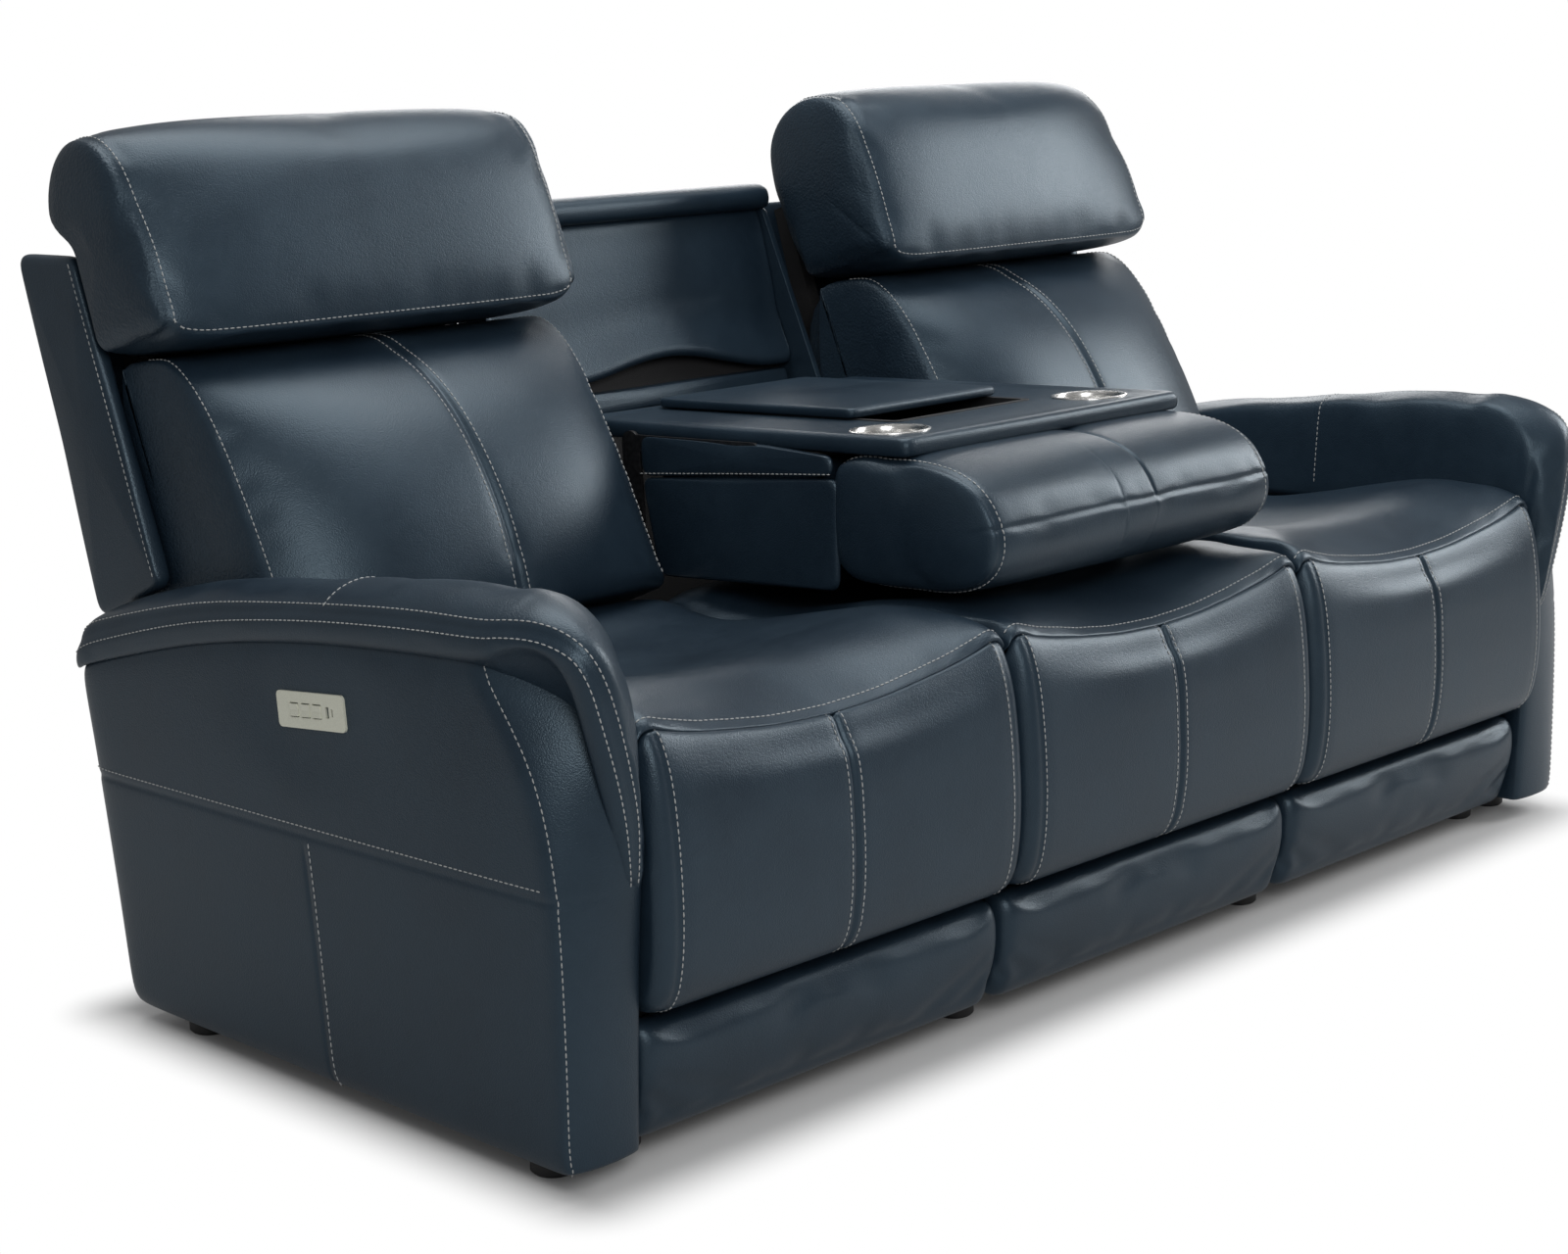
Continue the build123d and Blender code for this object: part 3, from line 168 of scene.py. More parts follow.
def new_material(name):
    """Material with a Principled shader and Object coordinates."""
    material = bpy.data.materials.new(name)
    material.use_nodes = True
    tree = material.node_tree
    shader = tree.nodes["Principled BSDF"]
    place = tree.nodes.new("ShaderNodeTexCoord").outputs["Object"]
    return material, tree, shader, place


def colour_ramp(tree, factor, stops):
    """Colour ramp from (place, colour) pairs."""
    ramp = tree.nodes.new("ShaderNodeValToRGB")
    tree.links.new(factor, ramp.inputs["Fac"])
    for i, (at, colour) in enumerate(stops):
        element = ramp.color_ramp.elements[i] if i < 2 else ramp.color_ramp.elements.new(at)
        element.position = at
        element.color = (*colour, 1)
    return ramp.outputs["Color"]


def bump(tree, shader, height, distance, strength=1.0):
    """Bump from a height socket into the shader's normal."""
    node = tree.nodes.new("ShaderNodeBump")
    node.inputs["Strength"].default_value = strength
    node.inputs["Distance"].default_value = distance
    tree.links.new(height, node.inputs["Height"])
    tree.links.new(node.outputs["Normal"], shader.inputs["Normal"])


def hide(name, dark, light, pebble, crease, sheen, depth):
    """Leather with its own grain size, sheen and colours."""
    material, tree, shader, place = new_material(name)
    grain = tree.nodes.new("ShaderNodeGroup")
    grain.node_tree = GRAIN
    tree.links.new(place, grain.inputs["Vector"])
    grain.inputs["Pebble"].default_value = pebble
    grain.inputs["Crease"].default_value = crease
    grain.inputs["Sheen"].default_value = sheen
    tint = colour_ramp(tree, grain.outputs["Mottle"], [(0.36, dark), (0.66, light)])
    tree.links.new(tint, shader.inputs["Base Color"])
    tree.links.new(grain.outputs["Roughness"], shader.inputs["Roughness"])
    bump(tree, shader, grain.outputs["Height"], depth)
    shader.inputs["Specular IOR Level"].default_value = 0.5
    shader.inputs["Specular Tint"].default_value = (0.66, 0.86, 1.0, 1)
    return material


smooth_hide = hide("navy_leather", (0.0085, 0.0165, 0.0270), (0.0135, 0.0250, 0.0385), 620.0, 0.35, 0.36, 0.00028)
pebbled_hide = hide("navy_leather_pebbled", (0.0080, 0.0155, 0.0255), (0.0125, 0.0235, 0.0365), 300.0, 0.9, 0.40, 0.0007)
print("leathers:", smooth_hide.name, pebbled_hide.name)

# %% [markdown]
# ## Hard finishes
# Thread, brushed steel, satin silver paint, moulded black plastic, black-oiled steel and bare plywood: each has its own
# small pattern, because a single flat colour never looks like a real surface.

# %% Hard materials
def plain_noise(tree, place, scale, detail=3.0, stretch=None):
    """Noise on the object, stretched along an axis for brushed or grained surfaces."""
    if stretch:
        mapping = tree.nodes.new("ShaderNodeMapping")
        mapping.inputs["Scale"].default_value = stretch
        tree.links.new(place, mapping.inputs["Vector"])
        place = mapping.outputs["Vector"]
    return texture(tree, "ShaderNodeTexNoise", place, Scale=scale, Detail=detail).outputs["Fac"]


def simple(name, dark, light, rough, metal, scale, depth, stretch=None, spread=0.12):
    """Hard finish: two colours, a roughness that varies, and a fine relief."""
    material, tree, shader, place = new_material(name)
    noise = plain_noise(tree, place, scale, 3.0, stretch)
    tree.links.new(colour_ramp(tree, noise, [(0.3, dark), (0.7, light)]), shader.inputs["Base Color"])
    change = math_node(tree, "MULTIPLY", math_node(tree, "SUBTRACT", noise, 0.5), spread * 2)
    tree.links.new(math_node(tree, "ADD", change, rough), shader.inputs["Roughness"])
    shader.inputs["Metallic"].default_value = metal
    bump(tree, shader, noise, depth)
    return material


thread_finish = simple("pale_thread", (0.27, 0.28, 0.28), (0.42, 0.43, 0.43), 0.7, 0.0, 2600.0, 0.0002)
steel_finish = simple("bright_steel", (0.62, 0.61, 0.59), (0.80, 0.79, 0.77), 0.26, 1.0, 60.0, 0.00004, (1, 1, 30))
silver_finish = simple("silver_trim", (0.62, 0.63, 0.53), (0.72, 0.73, 0.62), 0.34, 0.25, 900.0, 0.00003)
plastic_finish = simple("black_plastic", (0.008, 0.008, 0.009), (0.016, 0.016, 0.017), 0.5, 0.0, 1100.0, 0.00012)
oiled_finish = simple("black_steel", (0.018, 0.018, 0.020), (0.040, 0.040, 0.043), 0.42, 0.7, 140.0, 0.00006)
board_finish = simple("board", (0.30, 0.20, 0.115), (0.46, 0.335, 0.205), 0.62, 0.0, 9.0, 0.0002, (1, 14, 14))
cloth_finish = simple("black_cloth", (0.004, 0.004, 0.005), (0.011, 0.011, 0.012), 0.85, 0.0, 700.0, 0.0006)
print("hard finishes:", len(bpy.data.materials), "materials in all")

# %% [markdown]
# ## Skins
# A cushion is a row of closed outlines, one behind the other, like slices of bread. Where a seam runs the slices or
# their points sit close together, so the groove is sharp there and the padding stays smooth between the seams.

# %% Curves and rows
def through(points, count, near=(), far=()):
    """Points along a smooth curve: some at given distances from its start and its end, the rest evenly between."""
    p = np.asarray(points, float)
    s = np.r_[0, np.cumsum(np.linalg.norm(np.diff(p, axis=0), axis=1))]
    slope = np.gradient(p, s, axis=0)
    fine = np.linspace(0, s[-1], 60 * len(p))
    i = np.clip(np.searchsorted(s, fine, side="right") - 1, 0, len(p) - 2)
    h = (s[i + 1] - s[i])[:, None]
    u = (fine - s[i])[:, None] / h
    curve = (1 + 2 * u) * (1 - u) ** 2 * p[i] + u * (1 - u) ** 2 * h * slope[i]
    curve += u * u * (3 - 2 * u) * p[i + 1] + u * u * (u - 1) * h * slope[i + 1]
    run = np.r_[0, np.cumsum(np.linalg.norm(np.diff(curve, axis=0), axis=1))]
    low, high = (near[-1] if near else 0), run[-1] - (far[0] if far else 0)
    at = [0, *near, *np.linspace(low, high, count + 2)[1:-1], *[run[-1] - f for f in far], run[-1]]
    return np.stack([np.interp(at, run, curve[:, k]) for k in range(p.shape[1])], axis=1)


def smooth_at(x, xs, ys):
    """Value at x of a smooth curve through (xs, ys) that never overshoots them."""
    xs, ys = np.asarray(xs, float), np.asarray(ys, float)
    rise = np.diff(ys) / np.diff(xs)
    slope = np.r_[rise[0], np.zeros(len(xs) - 2), rise[-1]]
    for k in range(1, len(xs) - 1):
        if rise[k - 1] * rise[k] > 0:
            slope[k] = 2 * rise[k - 1] * rise[k] / (rise[k - 1] + rise[k])
    x = float(np.clip(x, xs[0], xs[-1]))
    i = int(np.clip(np.searchsorted(xs, x, side="right") - 1, 0, len(xs) - 2))
    h = xs[i + 1] - xs[i]
    u = (x - xs[i]) / h
    value = (1 + 2 * u) * (1 - u) ** 2 * ys[i] + u * (1 - u) ** 2 * h * slope[i]
    return value + u * u * (3 - 2 * u) * ys[i + 1] + u * u * (u - 1) * h * slope[i + 1]


def along_keys(t, keys):
    """Point at t on a smooth curve through evenly numbered keys."""
    i = int(np.clip(math.floor(t), 0, len(keys) - 2))
    u = t - i
    start = (keys[i + 1] - keys[i - 1]) / 2 if i else keys[1] - keys[0]
    end = (keys[i + 2] - keys[i]) / 2 if i + 2 < len(keys) else keys[-1] - keys[-2]
    value = (1 + 2 * u) * (1 - u) ** 2 * keys[i] + u * (1 - u) ** 2 * start
    return value + u * u * (3 - 2 * u) * keys[i + 1] + u * u * (u - 1) * end


def both_sides(half):
    """Places across a piece from those of its right half, which start at 0."""
    return [-h for h in reversed(half[1:])] + list(half)


def dip(x, at, depth, width):
    """Depth of a groove of a given width at a place."""
    return depth * max(0.0, 1 - abs(abs(x) - at) / width) ** 1.5


def make_object(name, verts, faces):
    """Object from vertices in millimetres, measured from the front panels' plane, with its faces turned outwards."""
    verts = np.asarray(verts, float).copy()
    verts[:, 1] += FRONT
    mesh = bpy.data.meshes.new(name)
    mesh.from_pydata((verts / 1000.0).tolist(), [], faces)
    form = bmesh.new()
    form.from_mesh(mesh)
    bmesh.ops.recalc_face_normals(form, faces=form.faces)
    form.to_mesh(mesh)
    form.free()
    mesh.polygons.foreach_set("use_smooth", [True] * len(mesh.polygons))
    obj = bpy.data.objects.new(name, mesh)
    bpy.context.scene.collection.objects.link(obj)
    return obj


def loft(name, rows, dome=(0.0, 0.0), rings=(0.93, 0.8, 0.6, 0.35), wrap=True):
    """Closed skin over rows of points, with ringed caps that may bulge out at each end."""
    rows = np.asarray(rows, float)
    count, around = rows.shape[:2]
    verts = list(rows.reshape(-1, 3))
    faces = []
    for r in range(count - 1):
        for c in range(around if wrap else around - 1):
            a, b = r * around + c, r * around + (c + 1) % around
            faces.append((a, b, b + around, a + around))
    if not wrap:
        return make_object(name, verts, faces)
    for end, inner, rise in ((0, 1, dome[0]), (count - 1, count - 2, dome[1])):
        ring = rows[end]
        centre = ring.mean(axis=0)
        out = centre - rows[inner].mean(axis=0)
        out = out / max(np.linalg.norm(out), 1e-9)
        last = [end * around + c for c in range(around)]
        for share in rings:
            start = len(verts)
            verts += list(centre + (ring - centre) * share + out * rise * (1 - share * share))
            this = [start + c for c in range(around)]
            faces += [(last[c], last[(c + 1) % around], this[(c + 1) % around], this[c]) for c in range(around)]
            last = this
        verts.append(centre + out * rise)
        faces += [(last[c], last[(c + 1) % around], len(verts) - 1) for c in range(around)]
    return make_object(name, verts, faces)


def smoothed(obj, levels=1):
    """Applies a subdivision; the first vertices keep their order, so seams can still be found."""
    modifier = obj.modifiers.new("Subdivision", "SUBSURF")
    modifier.levels = modifier.render_levels = levels
    graph = bpy.context.evaluated_depsgraph_get()
    mesh = bpy.data.meshes.new_from_object(obj.evaluated_get(graph))
    obj.modifiers.clear()
    old, obj.data = obj.data, mesh
    bpy.data.meshes.remove(old)
    return obj


print("skin helpers ready")

# %% [markdown]
# ## Padding
# Foam pushes the hide out and the seams hold it in. Cloth with a little pressure does just that: the seam points are
# pinned, the rest swells for a few frames, and no point may move further than a set limit.

# %% Puffing with cloth
def puff(obj, pinned, pressure, limit, frames=12, slack=0.0):
    scene = bpy.context.scene
    rest = np.array([v.co for v in obj.data.vertices])
    group = obj.vertex_groups.new(name="seams")
    group.add([int(i) for i in pinned], 1.0, "REPLACE")
    modifier = obj.modifiers.new("Padding", "CLOTH")
    cloth = modifier.settings
    cloth.quality = 6
    cloth.mass = 0.25
    cloth.tension_stiffness = cloth.compression_stiffness = 12.0
    cloth.shear_stiffness = 6.0
    cloth.bending_stiffness = 0.6
    cloth.air_damping = 4.0
    cloth.use_pressure = True
    cloth.uniform_pressure_force = pressure
    cloth.shrink_min = -slack
    cloth.vertex_group_mass = "seams"
    cloth.effector_weights.gravity = 0.0
    modifier.collision_settings.use_collision = False
    modifier.collision_settings.use_self_collision = False
    modifier.point_cache.frame_start = 1
    modifier.point_cache.frame_end = frames
    for number in range(1, frames + 1):
        scene.frame_set(number)
    swollen = obj.evaluated_get(bpy.context.evaluated_depsgraph_get())
    move = np.array([v.co for v in swollen.data.vertices]) - rest
    far = np.linalg.norm(move, axis=1, keepdims=True)
    limit = limit / 1000.0
    move *= limit * np.tanh(far / limit) / np.maximum(far, 1e-9)
    obj.modifiers.clear()
    obj.vertex_groups.clear()
    obj.data.vertices.foreach_set("co", (rest + move).ravel())
    obj.data.update()
    scene.frame_set(1)
    print(obj.name, "swelled by up to", round(float(np.abs(move).max()) * 1000, 1), "mm")
    return obj


def copy_of(obj, name, shift=0.0, mirror=False):
    """Copy moved along X in millimetres, or mirrored to the other side of the sofa."""
    mesh = obj.data.copy()
    mesh.name = name
    if mirror:
        mesh.transform(Matrix.Scale(-1, 4, (1, 0, 0)))
        mesh.flip_normals()
    if shift:
        mesh.transform(Matrix.Translation((shift / 1000.0, 0, 0)))
    twin = bpy.data.objects.new(name, mesh)
    bpy.context.scene.collection.objects.link(twin)
    return twin


def dress(obj, body, material, nodes=()):
    """Finish, body and replaced nodes of a padded piece."""
    obj.data.materials.clear()
    obj.data.materials.append(material)
    if body:
        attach(obj, body)
    if nodes:
        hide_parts(*nodes)
    return obj


def pebble(obj, chosen):
    """Gives the faces whose middle is chosen the coarser hide."""
    obj.data.materials.append(pebbled_hide)
    for face in obj.data.polygons:
        if chosen(face.center):
            face.material_index = 1


sewing = {}  # body or piece name to the rows of stitches that it carries


def sew(key, obj, indices, lift=0.35):
    """Adds a row of stitches along vertices of a finished skin."""
    vertices = obj.data.vertices
    row = [vertices[int(i)].co + vertices[int(i)].normal * (lift / 1000.0) for i in indices]
    sewing.setdefault(key, []).append(row)


print("padding helpers ready")

# %% [markdown]
# ## Seats
# Each seat is a bucket: its sides rise towards the front, and a soft roll crosses it behind the front seam. The top is
# one skin, from the front seam back under the back cushion; the boxing turns down at the sides.

# %% Seat tops
SEAT_HALF = 303.0
SEAM_X = [0, 75, 150, 225, 260, 282, 294, 303]
SEAM_Z = [463, 466, 474, 485, 493, 499, 497, 486]
TOP_Y = [2, 40, 90, 150, 230, 330, 450, 570]
TOP_MIDDLE = [463, 482, 492, 489, 472, 456, 453, 474]
TOP_SIDE = [485, 505, 514, 511, 491, 471, 458, 468]


def seam_height(x):
    """Height of a seat's front seam across the seat."""
    return smooth_at(abs(x), SEAM_X, SEAM_Z)


def seat_ring(x, press):
    """Outline of a seat's top skin at one place across it."""
    rise = (min(seam_height(x), 499.0) - 463.0) / 22.0
    drop = smooth_at(abs(x), [0, 262, 280, 292, 299, 303], [0, 0, 2, 5.5, 11, 20])
    start = seam_height(x)
    top = []
    for y, middle, side in zip(TOP_Y[1:], TOP_MIDDLE[1:], TOP_SIDE[1:]):
        z = middle + (side - middle) * rise - drop
        top.append((y, min(z, 516.0 - press) if y < 320 else z))
    edge = [(12, start - 18), (2, start - 7), (-2.6, start - 2.2), (-3.6, start + 0.4), (1, start + 4.5), (12, start + 9.5)]
    rear = top[-1][1]
    tail = [(612, rear - 11), (634, rear - 34), (638, rear - 64)]
    upper = through(edge + top + tail, 34, near=(8, 15, 19, 22, 25, 31, 37, 50))
    under = through([tail[-1], (638, 334)], 4)
    base = through([(638, 334), (100, 334)], 10)
    inside = through([(100, 334), (98, 410), (40, start - 34), (12, start - 18)], 5)
    ring = np.vstack([upper[:-1], under[:-1], base[:-1], inside[:-1]])
    return np.column_stack([np.full(len(ring), x), ring])


seat_places = both_sides([0, 22, 44, 66, 88, 110, 132, 154, 176, 198, 218, 236, 250, 262, 272, 280, 287, 293, 298, 301, 303])


def seat_top(name, press):
    """Puffed skin of one seat, with the stitch row behind its front seam."""
    rows = [seat_ring(x, press) for x in seat_places]
    around = len(rows[0])
    obj = loft(name, rows)
    held = [r * around + c for r in range(len(rows)) for c in (*range(0, 5), *range(46, around))]
    held += list(range(len(rows) * around, len(obj.data.vertices)))
    puff(obj, held, 2.0, 6.0, slack=0.006)
    return smoothed(obj), [r * around + 7 for r in range(2, len(rows) - 2)]


outer_top, seat_stitches = seat_top("left_seat_top", 0.0)
outer_top.data.transform(Matrix.Translation((-SEAT_PITCH / 1000, 0, 0)))
right_top = copy_of(outer_top, "right_seat_top", shift=2 * SEAT_PITCH)
middle_top, _ = seat_top("middle_seat_top", 8.0)
for obj, node in ((outer_top, "left"), (right_top, "right"), (middle_top, "middle")):
    dress(obj, "frame", smooth_hide, [f"{node}_seat_cushion"])
    sew("frame", obj, seat_stitches)
print("seat tops:", len(outer_top.data.vertices), "vertices each")

# %% [markdown]
# ## Fronts of the seats
# Below the front seam the hide runs down in one piece to the bottom of the front pad, over the knee where the footrest
# hinges. It is one skin, bent at the knee.

# %% Front covers
front_half = [0, 3.5, 7, 10, 15, 24, 38, 56, 76, 98, 122, 146, 170, 194, 216, 236, 252, 263, 270, 276, 281, 285, 290, 295,
              299, 303, 304.5]
front_places = both_sides(front_half)


def front_ring(x):
    """Outline of a front cover at one place across the seat."""
    top = seam_height(x)
    face = [(14, top - 22), (3, top - 9), (-2, top - 1.6), (-5.4, top - 2.4), (-11.5, top - 10.5), (-21, top - 30),
            (-29, (top + 400) / 2 - 8),
            (-36, 398), (-41, 345), (-43, 292), (-40, 242), (-32, 206), (-19, 186), (2, 178), (24, 177)]
    upper = through(face, 26, near=(8, 16, 21, 24.5, 29, 36), far=(20, 10))
    rear = through([(24, 177), (33, 184), (33.5, 230), (33.5, 400), (30, top - 44), (14, top - 22)], 14)
    ring = np.vstack([upper[:-1], rear[:-1]])
    inset = smooth_at(abs(x), [0, 276, 281, 285, 290, 295, 299, 303, 304.5], [0, 0, 0.6, 1.4, 3, 5.5, 9, 15, 20])
    inset += dip(x, 0, 6.0, 5) + dip(x, 281, 2.6, 7) + dip(x, 10, 0.7, 5) + dip(x, 270, 0.6, 6)
    spine = np.column_stack([np.full(len(ring), 12.0), np.clip(ring[:, 1], 215, top - 40)])
    pull = spine - ring
    size = np.maximum(np.linalg.norm(pull, axis=1, keepdims=True), 1e-6)
    ring = ring + pull / size * np.minimum(inset, size)
    return np.column_stack([np.full(len(ring), x), ring])


def front_cover(name):
    """Puffed front cover with its rows of stitches."""
    rows = [front_ring(x) for x in front_places]
    around = len(rows[0])
    obj = loft(name, rows)
    middle = len(rows) // 2
    seams = {middle - 1, middle, middle + 1, 6, len(rows) - 7}
    held = [r * around + c for r in range(len(rows)) for c in range(around)
            if r in seams or r < 5 or r > len(rows) - 6 or c < 5 or c > 31]
    held += list(range(len(rows) * around, len(obj.data.vertices)))
    puff(obj, held, 2.6, 8.0, slack=0.01)
    smoothed(obj)
    span = range(4, 34)
    lines = [[r * around + c for c in span] for r in (middle - 3, middle + 3, 7, len(rows) - 8)]
    return obj, lines


middle_cover, cover_lines = front_cover("middle_front_cover")
dress(middle_cover, "frame", smooth_hide)
covers = {"left": copy_of(middle_cover, "left_front_cover", shift=-SEAT_PITCH),
          "right": copy_of(middle_cover, "right_front_cover", shift=SEAT_PITCH)}
for line in cover_lines:
    sew("frame", middle_cover, line)
    for side, obj in covers.items():
        sew(f"{side}_front", obj, line)
print("front covers:", len(middle_cover.data.vertices), "vertices each")

# %% Lower front panels
kick_places = both_sides([0, 25, 50, 75, 100, 125, 150, 175, 200, 222, 244, 262, 276, 286, 293, 298, 301, 303])


def kick_ring(x):
    """Outline of a lower front panel."""
    face = [(33.5, 166), (16, 166.5), (5, 162), (-1, 150), (-3, 128), (1, 90), (10, 52), (18, 34), (25, 29), (33.5, 29)]
    ring = np.vstack([through(face, 24, near=(8,))[:-1], through([(33.5, 29), (33.5, 166)], 6)[:-1]])
    inset = smooth_at(abs(x), [0, 276, 286, 293, 298, 301, 303], [0, 0, 1, 4, 9, 15, 22])
    ring[:, 0] = np.minimum(ring[:, 0] + inset * (ring[:, 0] < 30), 33.5)
    ring[:, 1] += inset * 0.5 * np.clip((97 - ring[:, 1]) / 60, -1, 1)
    return np.column_stack([np.full(len(ring), x), ring])


def kick_panel(name):
    """Lower front panel whose cover puckers a little along its top."""
    rows = [kick_ring(x) for x in kick_places]
    around = len(rows[0])
    obj = loft(name, rows)
    held = [r * around + c for r in range(len(rows)) for c in (0, 1, *range(21, around))]
    held += list(range(len(rows) * around, len(obj.data.vertices)))
    puff(obj, held, 1.4, 5.0, slack=0.014)
    return smoothed(obj)


middle_kick = kick_panel("middle_kick_panel")
dress(middle_kick, "frame", smooth_hide)
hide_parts("middle_front_pads")
for side, sign in (("left", -1), ("right", 1)):
    obj = copy_of(middle_kick, f"{side}_kick_panel", shift=sign * SEAT_PITCH)
    dress(obj, f"{side}_footrest", smooth_hide, [f"{side}_footrest_panel"])
print("kick panels:", len(middle_kick.data.vertices), "vertices each")

# %% [markdown]
# ## Arms
# The side of an arm is one large panel with a seam across it and another below that. It turns round the front on a
# soft corner. Over it lies the arm's pad, which overhangs the side with a double-stitched edge, flows over the front
# and narrows to a tail beside the seat.

# %% Arm bodies
ARM_OUT, ARM_IN = -1031.0, -922.0
FRONT_EDGE = [(1, 30), (2, 140), (5, 252), (11, 330), (22, 392), (38, 454), (63, 512), (93, 552), (126, 575)]
REAR_EDGE = [(820, 30), (841, 165), (868, 317), (882, 390), (894, 454)]
TOP_EDGE = [(126, 576), (242, 569), (428, 552), (631, 520), (760, 488), (888, 452)]
INNER_EDGE = [(0, 30), (-3, 140), (-7, 252), (-12, 330), (-16, 390), (-17, 450), (-8, 510), (12, 545), (40, 565)]
panel_share = [0, 0.008, 0.018, 0.03, 0.05, 0.08, 0.12, 0.17, 0.22, 0.27, 0.32, 0.37, 0.42, 0.46, 0.482, 0.4865, 0.491,
               0.4955, 0.5, 0.52, 0.56, 0.61, 0.66, 0.71, 0.76, 0.81, 0.86, 0.91, 0.95, 0.975, 0.99, 1.0]
SEAM_COLUMN = 16


def on_edge(edge, z):
    """Point of an upright edge at a height."""
    return smooth_at(z, [p[1] for p in edge], [p[0] for p in edge])


def arm_rows():
    """Rows of the arm's body from its foot to the underside of the pad."""
    levels = [("low", v) for v in (0, 0.02, 0.05, 0.12, 0.22, 0.33, 0.44, 0.55, 0.66, 0.77, 0.87, 0.94)]
    levels += [("seam", d) for d in (-9, -4.5, 0, 4.5, 9)]
    levels += [("high", v) for v in (0.07, 0.16, 0.27, 0.38, 0.5, 0.62, 0.73, 0.83, 0.91, 0.96, 1.0)]
    rows = []
    for kind, v in levels:
        outer = []
        for column, share in enumerate(panel_share):
            top = through(TOP_EDGE, 99)[int(round(share * 100))]
            seam_z = 332 - 18 * share
            if kind == "low":
                z = 29 + (seam_z - 9 - 29) * v
            elif kind == "seam":
                z = seam_z + v
            else:
                z = (seam_z + 9) + (top[1] - seam_z - 9) * v
            ahead, behind = on_edge(FRONT_EDGE, z if kind != "high" else 341 + 235 * v), on_edge(REAR_EDGE, z)
            if kind == "high":
                ahead = on_edge(FRONT_EDGE, 341 + 235 * v)
                z_front = 341 + 235 * v
                z = z_front * (1 - min(share * 12, 1)) + z * min(share * 12, 1) if share < 0.083 else z
                behind = on_edge(REAR_EDGE, 323 + 129 * v)
            y = ahead + (behind - ahead) * share
            if kind == "high":
                y = y * (1 - v ** 4) + top[0] * v ** 4
            bulge = 4.0 * (math.sin(math.pi * share) * math.sin(math.pi * min((z - 20) / 560, 1))) ** 0.6
            away = min(max((math.hypot(y - 406, 1.7 * (z - 473)) - 72) / 110, 0.0), 1.0)
            bulge *= away * away * (3 - 2 * away)
            x = ARM_OUT - bulge
            x += 2.2 * (kind == "seam") * max(0, 1 - abs(v) / 5)
            if kind == "low":
                x += 2.2 * max(0, 1 - abs(column - SEAM_COLUMN) / 1.2)
            x += 1.8 * max(0, 1 - share / 0.012)
            x += smooth_at(share, [0, 0.95, 0.975, 0.99, 1.0], [0, 0, 1.5, 5, 12])
            if kind == "high":
                x += smooth_at(v, [0, 0.83, 0.91, 0.96, 1.0], [0, 0, 1, 3, 8])
            if kind == "low" and v < 0.06:
                x += 7 * (1 - v / 0.06)
            outer.append((x, y, z))
        last, first = outer[-1], outer[0]
        rear = [(ARM_OUT + d, last[1] + lift, last[2]) for d, lift in ((22, 4), (40, 5.5), (70, 5.5), (96, 3))]
        inner_y = on_edge(INNER_EDGE, first[2])
        inside = ARM_IN - 8 * min(max((first[2] - 400) / 60, 0), 1)
        inner = [(ARM_IN - 8 if s < 0.9 else inside, last[1] + (inner_y - last[1]) * s, last[2] + (first[2] - last[2]) * s)
                 for s in (0, 0.12, 0.3, 0.5, 0.7, 0.88, 0.97, 1.0)]
        tuck = [(inside - 4, inner_y - 4, first[2])]
        swell = 9 + 6 * min(max((first[2] - 250) / 250, 0), 1)
        face = []
        for s in (0.88, 0.74, 0.58, 0.42, 0.28, 0.17, 0.09, 0.04):
            round_off = math.sin(math.pi * s ** 0.8) ** 0.7
            face.append((inside - 4 + (first[0] - inside + 4) * (1 - s), inner_y - 4 + (first[1] - inner_y + 4) * (1 - s)
                         - swell * round_off, first[2]))
        rows.append(outer + rear + inner + tuck + face)
    return rows


arm = arm_rows()
ARM_AROUND = len(arm[0])
left_arm = loft("left_arm_body", arm)
seam_row = 14
held = [r * ARM_AROUND + c for r in range(len(arm)) for c in range(ARM_AROUND)
        if r in (0, 1, seam_row, len(arm) - 1) or c in (0, 1) or c >= len(panel_share) - 1
        or (r < seam_row and c == SEAM_COLUMN) or math.hypot(arm[r][c][1] - 406, 1.7 * (arm[r][c][2] - 473)) < 100]
held += list(range(len(arm) * ARM_AROUND, len(left_arm.data.vertices)))
puff(left_arm, held, 0.8, 4.0, slack=0.004)
smoothed(left_arm)
arm_lines = [[(seam_row + 2) * ARM_AROUND + c for c in range(2, len(panel_share) - 1)],
             [r * ARM_AROUND + SEAM_COLUMN - 2 for r in range(0, seam_row - 1)],
             [r * ARM_AROUND + ARM_AROUND - 1 for r in range(0, len(arm) - 1)]]
right_arm = copy_of(left_arm, "right_arm_body", mirror=True)
for side, obj in (("left", left_arm), ("right", right_arm)):
    dress(obj, "frame", smooth_hide, [f"{side}_arm_cover"])
    for line in arm_lines:
        sew("frame", obj, line)
print("arm bodies:", len(left_arm.data.vertices), "vertices each")

# %% [markdown]
# ## Arm pads
# A pad is drawn by six guide lines from the rear to the tail: its lower edge, the two stitch rows, the crown, the
# inner shoulder and the line where it goes down beside the seat. A slice joins the six points of one station.

